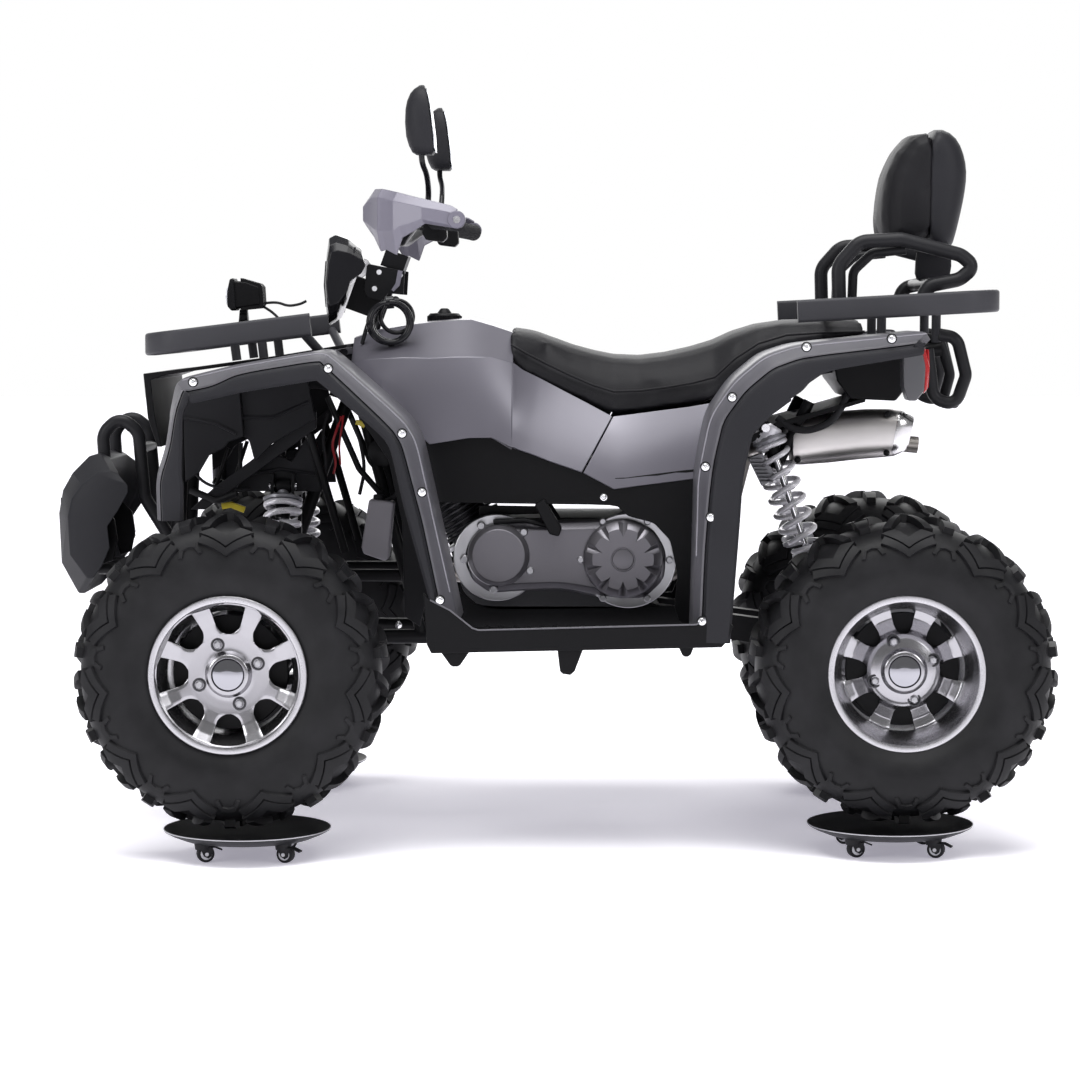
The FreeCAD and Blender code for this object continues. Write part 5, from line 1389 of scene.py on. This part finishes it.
BAR_PATH = [(282, 0, 1140), (290, -64, 1141), (326, -178, 1176), (366, -256, 1172)]
bar = tube_run(BAR_PATH, 11, 50)
switch = extruded([(344, 1170), (384, 1166), (386, 1140), (378, 1132), (346, 1136), (338, 1150)], -262, -222)
perch = spun([(-14, 8), (-14, 16), (14, 16), (14, 8)], at(346, -216, 1176), (0.42, -0.9, 0), 20)
LEVER_POINTS = [(336, -226, 1168), (312, -246, 1166), (322, -300, 1160), (345, -372, 1154)]
brake = carried(at(*softened(LEVER_POINTS, 0.4, 6).T), box_section(9, 6, 2), UPWARDS)
on_steering("handlebar_tube", [both(bar)], TUBE_BLACK, "steel_black", "handlebar", smooth=50)
on_steering("switch_boxes", [both(switch), both(perch)], NEAR_BLACK, "plastic_black", "handlebar", bevel=3)
on_steering("brake_levers", [both(brake)], BLACK_STEEL, "steel_black", "handlebar")
grip_way = np.array([45, -130, -7.0])
grip_way = unit(grip_way)
knots = np.linspace(0, 128, 129)
ribs = 15.6 + 0.9 * (np.sin(knots * 2 * math.pi / 7) > 0) + 1.6 * (knots < 5)
grip_form = spun([(0, 8)] + list(zip(knots, ribs)) + [(134, 17), (137, 14), (137, 8)], at(366, -258, 1172),
                 grip_way, 28)
on_steering("ribbed_grips", [both(grip_form)], HOSE_RUBBER, "rubber", "grips", smooth=40)

HAND_GUARD = [
    # back, side, low edge, lower fold, upper fold, top
    (231, -285, 1163, 1172, 1196, 1207), (248, -312, 1140, 1160, 1212, 1229),
    (262, -345, 1113, 1150, 1212, 1228), (272, -351, 1116, 1150, 1210, 1226),
    (292, -368, 1106, 1150, 1204, 1221), (303, -373, 1138, 1158, 1202, 1218),
    (325, -383, 1150, 1164, 1197, 1212), (346, -391, 1164, 1172, 1192, 1207),
    (366, -394, 1161, 1168, 1189, 1202), (392, -397, 1157, 1163, 1184, 1195),
    (404, -398, 1155, 1160, 1180, 1188),
]


def hand_guard():
    """Left guard as a faceted skin: each station has four heights, the two inner ones standing out."""
    rows = np.array(HAND_GUARD, float)
    back = np.stack([rows[:, 0] + shift for shift in (6, 0, 0, 8)], -1)
    side = np.stack([rows[:, 1] + shift for shift in (7, 0, 0, 10)], -1)
    return grid(at(back, side, rows[:, 2:]))


guard_skin = hand_guard()
on_steering("hand_guard_shells", [both(guard_skin)], LAVENDER, "paint_grey", "hand_guards", bevel=1.5,
            wall=4.5, smooth=12)
end_ring = spun([(0, 7), (0, 15), (2, 16.5), (13, 16.5), (15, 15), (15, 7)], at(410, -388, 1170),
                OUT_LEFT, 36)
on_steering("hand_guard_ends", [both(end_ring)], LAVENDER, "paint_grey", "hand_guards")
end_bolt = spun([(0, 0), (0, 7), (8, 7), (8, 3.4), (4, 3.4), (4, 0)], at(410, -388, 1170), OUT_LEFT, 18)
on_steering("hand_guard_bolts", [both(end_bolt)], ZINC, "steel", "hand_guards")

MIRROR_SIDE = -330
MIRROR_ROWS = [
    # height, front, back, half width
    (1291, 336, 364, 24), (1296, 328, 367, 35), (1308, 322, 366, 41), (1325, 317, 365, 44),
    (1350, 315, 362, 45), (1375, 316, 359, 44), (1390, 319, 357, 41), (1404, 325, 354, 35),
    (1412, 332, 351, 27), (1419, 342, 348, 12),
]


def mirror_head():
    """Left mirror head: D-shaped sections, domed in front by a cosine and flat behind."""
    rows = np.array(MIRROR_ROWS, float)
    turn = full_turn(40)[None]
    dome = np.maximum(np.cos(turn), 0) ** 0.75
    flat = np.maximum(-np.cos(turn), 0) ** 0.5
    back = rows[:, 2:3] - (rows[:, 2:3] - rows[:, 1:2]) * dome + 3 * flat - 3
    wide = squared(np.sin(turn), 0.7)
    return capped(at(back, MIRROR_SIDE + rows[:, 3:] * wide, rows[:, :1]))


def mirror_glass():
    """Flat glass a little proud of the head's back."""
    rows = np.array(MIRROR_ROWS[1:-1], float)
    across = np.linspace(-0.86, 0.86, 9)[None]
    return at(rows[:, 2:3] + 1.4 + 0 * across, MIRROR_SIDE + rows[:, 3:] * across, rows[:, :1] + 0 * across)


head = mirror_head()
STEM_POINTS = [(348, -236, 1196), (351, -246, 1228), (350, -296, 1258), (343, -326, 1276), (342, -330, 1298)]
stem = carried(at(*softened(STEM_POINTS, 0.45, 6).T), round_section(5.6, 16), (1, 0, 0.02))
stem_foot = spun([(0, 0), (0, 11), (8, 12), (12, 9), (22, 7), (22, 0)], at(348, -236, 1186),
                 (0.03, -0.1, 1), 24)
glass_grid = grid(mirror_glass())
on_steering("mirror_heads", [both(head)], FLARE, "plastic_black", "mirrors", smooth=50)
on_steering("mirror_stems", [both(stem), both(stem_foot)], GLOSS_BLACK, "plastic_black", "mirrors",
            smooth=60)
on_steering("mirror_glasses", [both(glass_grid)], MIRROR_GLASS, "plastic_gloss", "mirrors", wall=2)

POD_OUTLINE = [(159, 1154), (183, 1145), (209, 1122), (214, 1104), (206, 1080), (184, 1056), (178, 1025),
               (161, 986), (144, 974), (140, 1001), (137, 1053), (141, 1112), (146, 1147)]
POD_SIDES = [(-84, 6, 0.60), (-76, 3, 0.78), (-52, 0, 0.96), (0, -1, 1.0), (52, 0, 0.96), (76, 3, 0.78),
             (84, 6, 0.60)]
mould("lamp_pod", POD_OUTLINE, POD_SIDES, GLOSS_BLACK, "headlamp", 2.0, 1068, "steering", "plastic_gloss", 20)
face = extruded([(138, 1010), (134.5, 1053), (138, 1100), (144, 1100), (142, 1053), (144, 1010)], -50, 50)
on_steering("lamp_glass", [face], DARK_GLASS, "plastic_gloss", "headlamp", bevel=1.5)
seam_line = carried(at([199, 186, 176, 164], [-79, -80, -78, -74], [1126, 1075, 1040, 1000]),
                    box_section(3, 3, 1), (0, 1, 0.1))
on_steering("lamp_seams", [both(seam_line)], FLARE, "plastic_black", "headlamp")

PLATE_OUTLINE = [(224, 1094), (294, 1080), (291, 1034), (262, 1037), (248, 1022), (221, 1029), (215, 1044),
                 (220, 1090)]
plates = [extruded(PLATE_OUTLINE, near, near + 5) for near in (-64, 58)]
plate_edge = extruded([(281, 1082), (290, 1080), (284, 1052), (272, 1040), (268, 1044), (276, 1056)],
                      -66.5, -63.5)
holes = [spun([(0, 0), (0, 5), (1.4, 5), (1.4, 0)], at(back, -64, height), OUT_LEFT, 16)
         for back, height in ((244, 1078), (235, 1046), (285, 1072))]
on_steering("column_plates", plates, BLACK_STEEL, "steel_black", bevel=1)
on_steering("column_plate_holes", holes, ROLLER_WHITE, "steel")
on_steering("column_plate_edge", [plate_edge], LAVENDER, "paint_grey")

# Light colour for the thin guard edge lines: a painted highlight.
GUARD_EDGE_HIGHLIGHT = coated("painted_highlight_guard_edge", (0.20, 0.195, 0.22), 0.3, 500, 0.0001, 0.06)

# Seat pan, belly plates, engine mount tubes, nose slats and bumper slots

belly = extruded([(392, 470), (430, 440), (470, 436), (820, 436), (838, 480), (846, 396),
                  (392, 394)], -152, -146)
seat_pan = extruded([(505, 752), (620, 712), (860, 712), (1010, 790), (1180, 838), (1180, 830), (1016, 780),
                     (866, 700), (616, 700), (505, 742)], -176, 176)
on_chassis("seat_pan", [seat_pan], NEAR_BLACK, "plastic_black", bevel=1)
on_chassis("belly_side_plates", [both(belly)], NEAR_BLACK, "plastic_black", bevel=1.5)
cross_tubes = [tube_run([(452, -130, 664), (560, -128, 650), (640, -126, 646)], 9),
               tube_run([(640, -126, 646), (700, -128, 660), (742, -130, 668)], 5),
               tube_run([(560, -128, 650), (582, -140, 618), (600, -150, 590)], 7)]
on_chassis("engine_mount_tubes", cross_tubes, BLACK_STEEL, "steel_black")
shelf = extruded([(440, 628), (566, 626), (566, 612), (440, 608)], -128, -116)
pedal_arm = tube_run([(470, -188, 600), (530, -192, 604), (590, -192, 590)], 5)
on_chassis("gear_shaft", [shelf, pedal_arm], BLACK_STEEL, "steel_black", "engine", bevel=1)
slats = [extruded([(-194 + 0.16 * drop, 874 - drop), (-199 + 0.16 * drop, 870 - drop),
                   (-199 + 0.16 * drop, 865 - drop), (-190 + 0.16 * drop, 862 - drop)], -150, 150)
         for drop in range(0, 92, 15)]
on_chassis("nose_slats", slats, FLARE, "plastic_black", "nose_cowl", bevel=1)
on_chassis("bumper_slots", recess, NEAR_BLACK, "plastic_black", "bumper_guard", bevel=1.5)

# Cable coil

COIL_TURNS = 4.2
COIL_RADIUS = 38
COIL_BACK, COIL_HEIGHT = 272, 981
turn = np.linspace(0, 2 * math.pi * COIL_TURNS, 180)
loop = COIL_RADIUS * (1 + 0.05 * np.sin(turn * 0.73) + 0.03 * np.sin(turn * 1.31))
coil_side = -175 + 18 * turn / turn[-1] + 1.5 * np.sin(turn * 0.6)
coil_line = at(COIL_BACK + loop * np.sin(turn), coil_side, COIL_HEIGHT + loop * np.cos(turn))
single = turn[:60]
behind = at(284 + 31 * np.sin(single), -158 + 4 * single / single[-1], 992 + 31 * np.cos(single))
band = spun([(-7, 5), (-7, 12), (7, 12), (7, 5)], at(272, -166, 1019), (1, 0, 0.1), 20)
turns = carried(coil_line, round_section(5.2, 12), (0, 1, 0.01))
single_turn = carried(behind, round_section(4.2, 10), (0, 1, 0.01))
on_chassis("cable_turns", [turns, single_turn, band], GLOSS_BLACK, "rubber", "cable_coil", smooth=60)
cable_ends = [lead([(268, -164, 1024), (250, -150, 1012), (228, -130, 985), (214, -110, 940)], 4),
              lead([(276, -160, 940), (262, -140, 930), (240, -120, 925), (222, -100, 915)], 4),
              lead([(290, -158, 1010), (284, -128, 1030), (268, -104, 1024), (248, -98, 990),
                    (232, -96, 950)], 3.5)]
on_chassis("cable_ends", cable_ends, HOSE_RUBBER, "rubber", "cable_coil", smooth=60)

# Bolts, seams and painted highlight lines on the guard edges

SIDE_BOLTS = [(-66, 874), (180, 899), (314, 781), (350, 674), (382, 477), (1047, 938), (1201, 953),
              (913, 847), (865, 721), (875, 629), (860, 439)]
PANEL_BOLTS = [(355, 655, 209), (288, 403, 200), (681, 649, 209), (369, 451, 209)]
screws = [bolt(at(back, -482.5, height), OUT_LEFT, 5.4) for back, height in SIDE_BOLTS]
screws += [bolt(at(back, -side, height), OUT_LEFT, 5.0) for back, height, side in PANEL_BOLTS]
rings = [spun([(-3, 6), (-3, 9.5), (0.5, 9.5), (1.2, 8.4), (1.2, 6)], at(back, -482, height), OUT_LEFT, 24)
         for back, height in SIDE_BOLTS]
on_chassis("panel_screws", pairs(screws), ZINC, "steel", smooth=40)
on_chassis("screw_rings", pairs(rings), NEAR_BLACK, "plastic_black", smooth=40)


def guard_highlight_line(shape, first, last):
    """Thin line painted light along the outer edge of a wheel guard's band: a painted highlight."""
    keyed = softened(np.column_stack([shape["stations"], shape["tops"]])[first:last], 0.3, 4)
    return carried(at(keyed[:, 0], -459.4, keyed[:, 1] - 3.5), round_section(1.3, 8), (0, 1, 0.02))


# Painted highlight lines along the outer edges of the guards.
lines = [guard_highlight_line(FRONT_GUARD, 5, 15), guard_highlight_line(REAR_GUARD, 1, 12)]
on_chassis("guard_edge_highlights", pairs(lines), GUARD_EDGE_HIGHLIGHT, "plastic_black")
seat_rows = np.array(SEAT_ROWS, float)
piping_height = seat_rows[:, 1] - (seat_rows[:, 1] - seat_rows[:, 2]) * 0.60
piping = carried(at(seat_rows[:, 0], -(seat_rows[:, 3] * 0.985), piping_height), round_section(2.4, 8),
                 (0, 1, 0.02))
on_chassis("seat_piping", [both(piping)], VINYL, "seat_cover", "seat", smooth=60)

# Stage, lights and camera

DIM_SURROUND = 0.28
FLOOR_SIZE = 60
SUN_ENERGY = 2.5
SUN_SPREAD = 50
SUN_TILT = (8, -6)
PANELS = [
    # name, place in metres, width in metres, power in watts
    ("top", (0.2, -1.4, 3.2), 2.6, 60), ("front_left", (-3.6, -3.2, 2.0), 1.6, 50),
    ("rear_left", (3.4, -3.0, 2.4), 1.6, 40), ("behind", (0.5, 3.5, 2.6), 3.0, 50),
]
PANEL_AIM = (0, 0, 0.6)
LENS = 105
CAMERA_PLACE = (0.102, -6.2, 1.005)
CAMERA_DOWN = 4.18
CAMERA_TURN = 1.09


def stage():
    """Pale floor and a white surround, lit by large soft panels."""
    bpy.ops.mesh.primitive_plane_add(size=FLOOR_SIZE, location=(0, 0, 0))
    floor = bpy.context.object
    floor.name = "floor"
    finish = Finish("pale_floor", (0.97, 0.962, 0.985), 0.9, Specular_IOR_Level=0.1, Emission_Strength=0.33)
    finish.set("Emission Color", (0.88, 0.85, 1.0, 1))
    floor.data.materials.append(finish.material)
    world = bpy.data.worlds.new("studio")
    world.use_nodes = True
    nodes = world.node_tree.nodes
    links = world.node_tree.links
    background = nodes["Background"]
    background.inputs[0].default_value = (1, 1, 1, 1)
    way = nodes.new("ShaderNodeSeparateXYZ")
    links.new(nodes.new("ShaderNodeTexCoord").outputs["Generated"], way.inputs[0])
    bright = nodes.new("ShaderNodeMapRange")
    for name, value in (("From Min", 0.55), ("From Max", 0.93), ("To Min", DIM_SURROUND), ("To Max", 1.0)):
        bright.inputs[name].default_value = value
    links.new(way.outputs[1], bright.inputs["Value"])
    links.new(bright.outputs[0], background.inputs[1])
    bpy.context.scene.world = world
    sun = bpy.data.lights.new("high_panel", "SUN")
    sun.energy = SUN_ENERGY
    sun.angle = math.radians(SUN_SPREAD)
    lamp = bpy.data.objects.new("high_panel", sun)
    lamp.rotation_euler = (math.radians(SUN_TILT[0]), math.radians(SUN_TILT[1]), 0)
    bpy.context.scene.collection.objects.link(lamp)
    for name, place, wide, power in PANELS:
        light = bpy.data.lights.new(name, "AREA")
        light.shape = "SQUARE"
        light.size = wide
        light.energy = power
        lamp = bpy.data.objects.new(name, light)
        lamp.location = place
        lamp.rotation_euler = (Vector(PANEL_AIM) - Vector(place)).to_track_quat("-Z", "Y").to_euler()
        bpy.context.scene.collection.objects.link(lamp)


def camera():
    """The photograph's view: from the left side, a little above the middle, with a long lens."""
    lens = bpy.data.cameras.new("camera")
    lens.sensor_width = 36
    lens.lens = LENS
    eye = bpy.data.objects.new("camera", lens)
    eye.location = CAMERA_PLACE
    eye.rotation_euler = (math.radians(90 - CAMERA_DOWN), 0, math.radians(CAMERA_TURN))
    bpy.context.scene.collection.objects.link(eye)
    bpy.context.scene.camera = eye
    bpy.context.scene.view_settings.view_transform = "Standard"


stage()
camera()
bpy.context.view_layer.update()
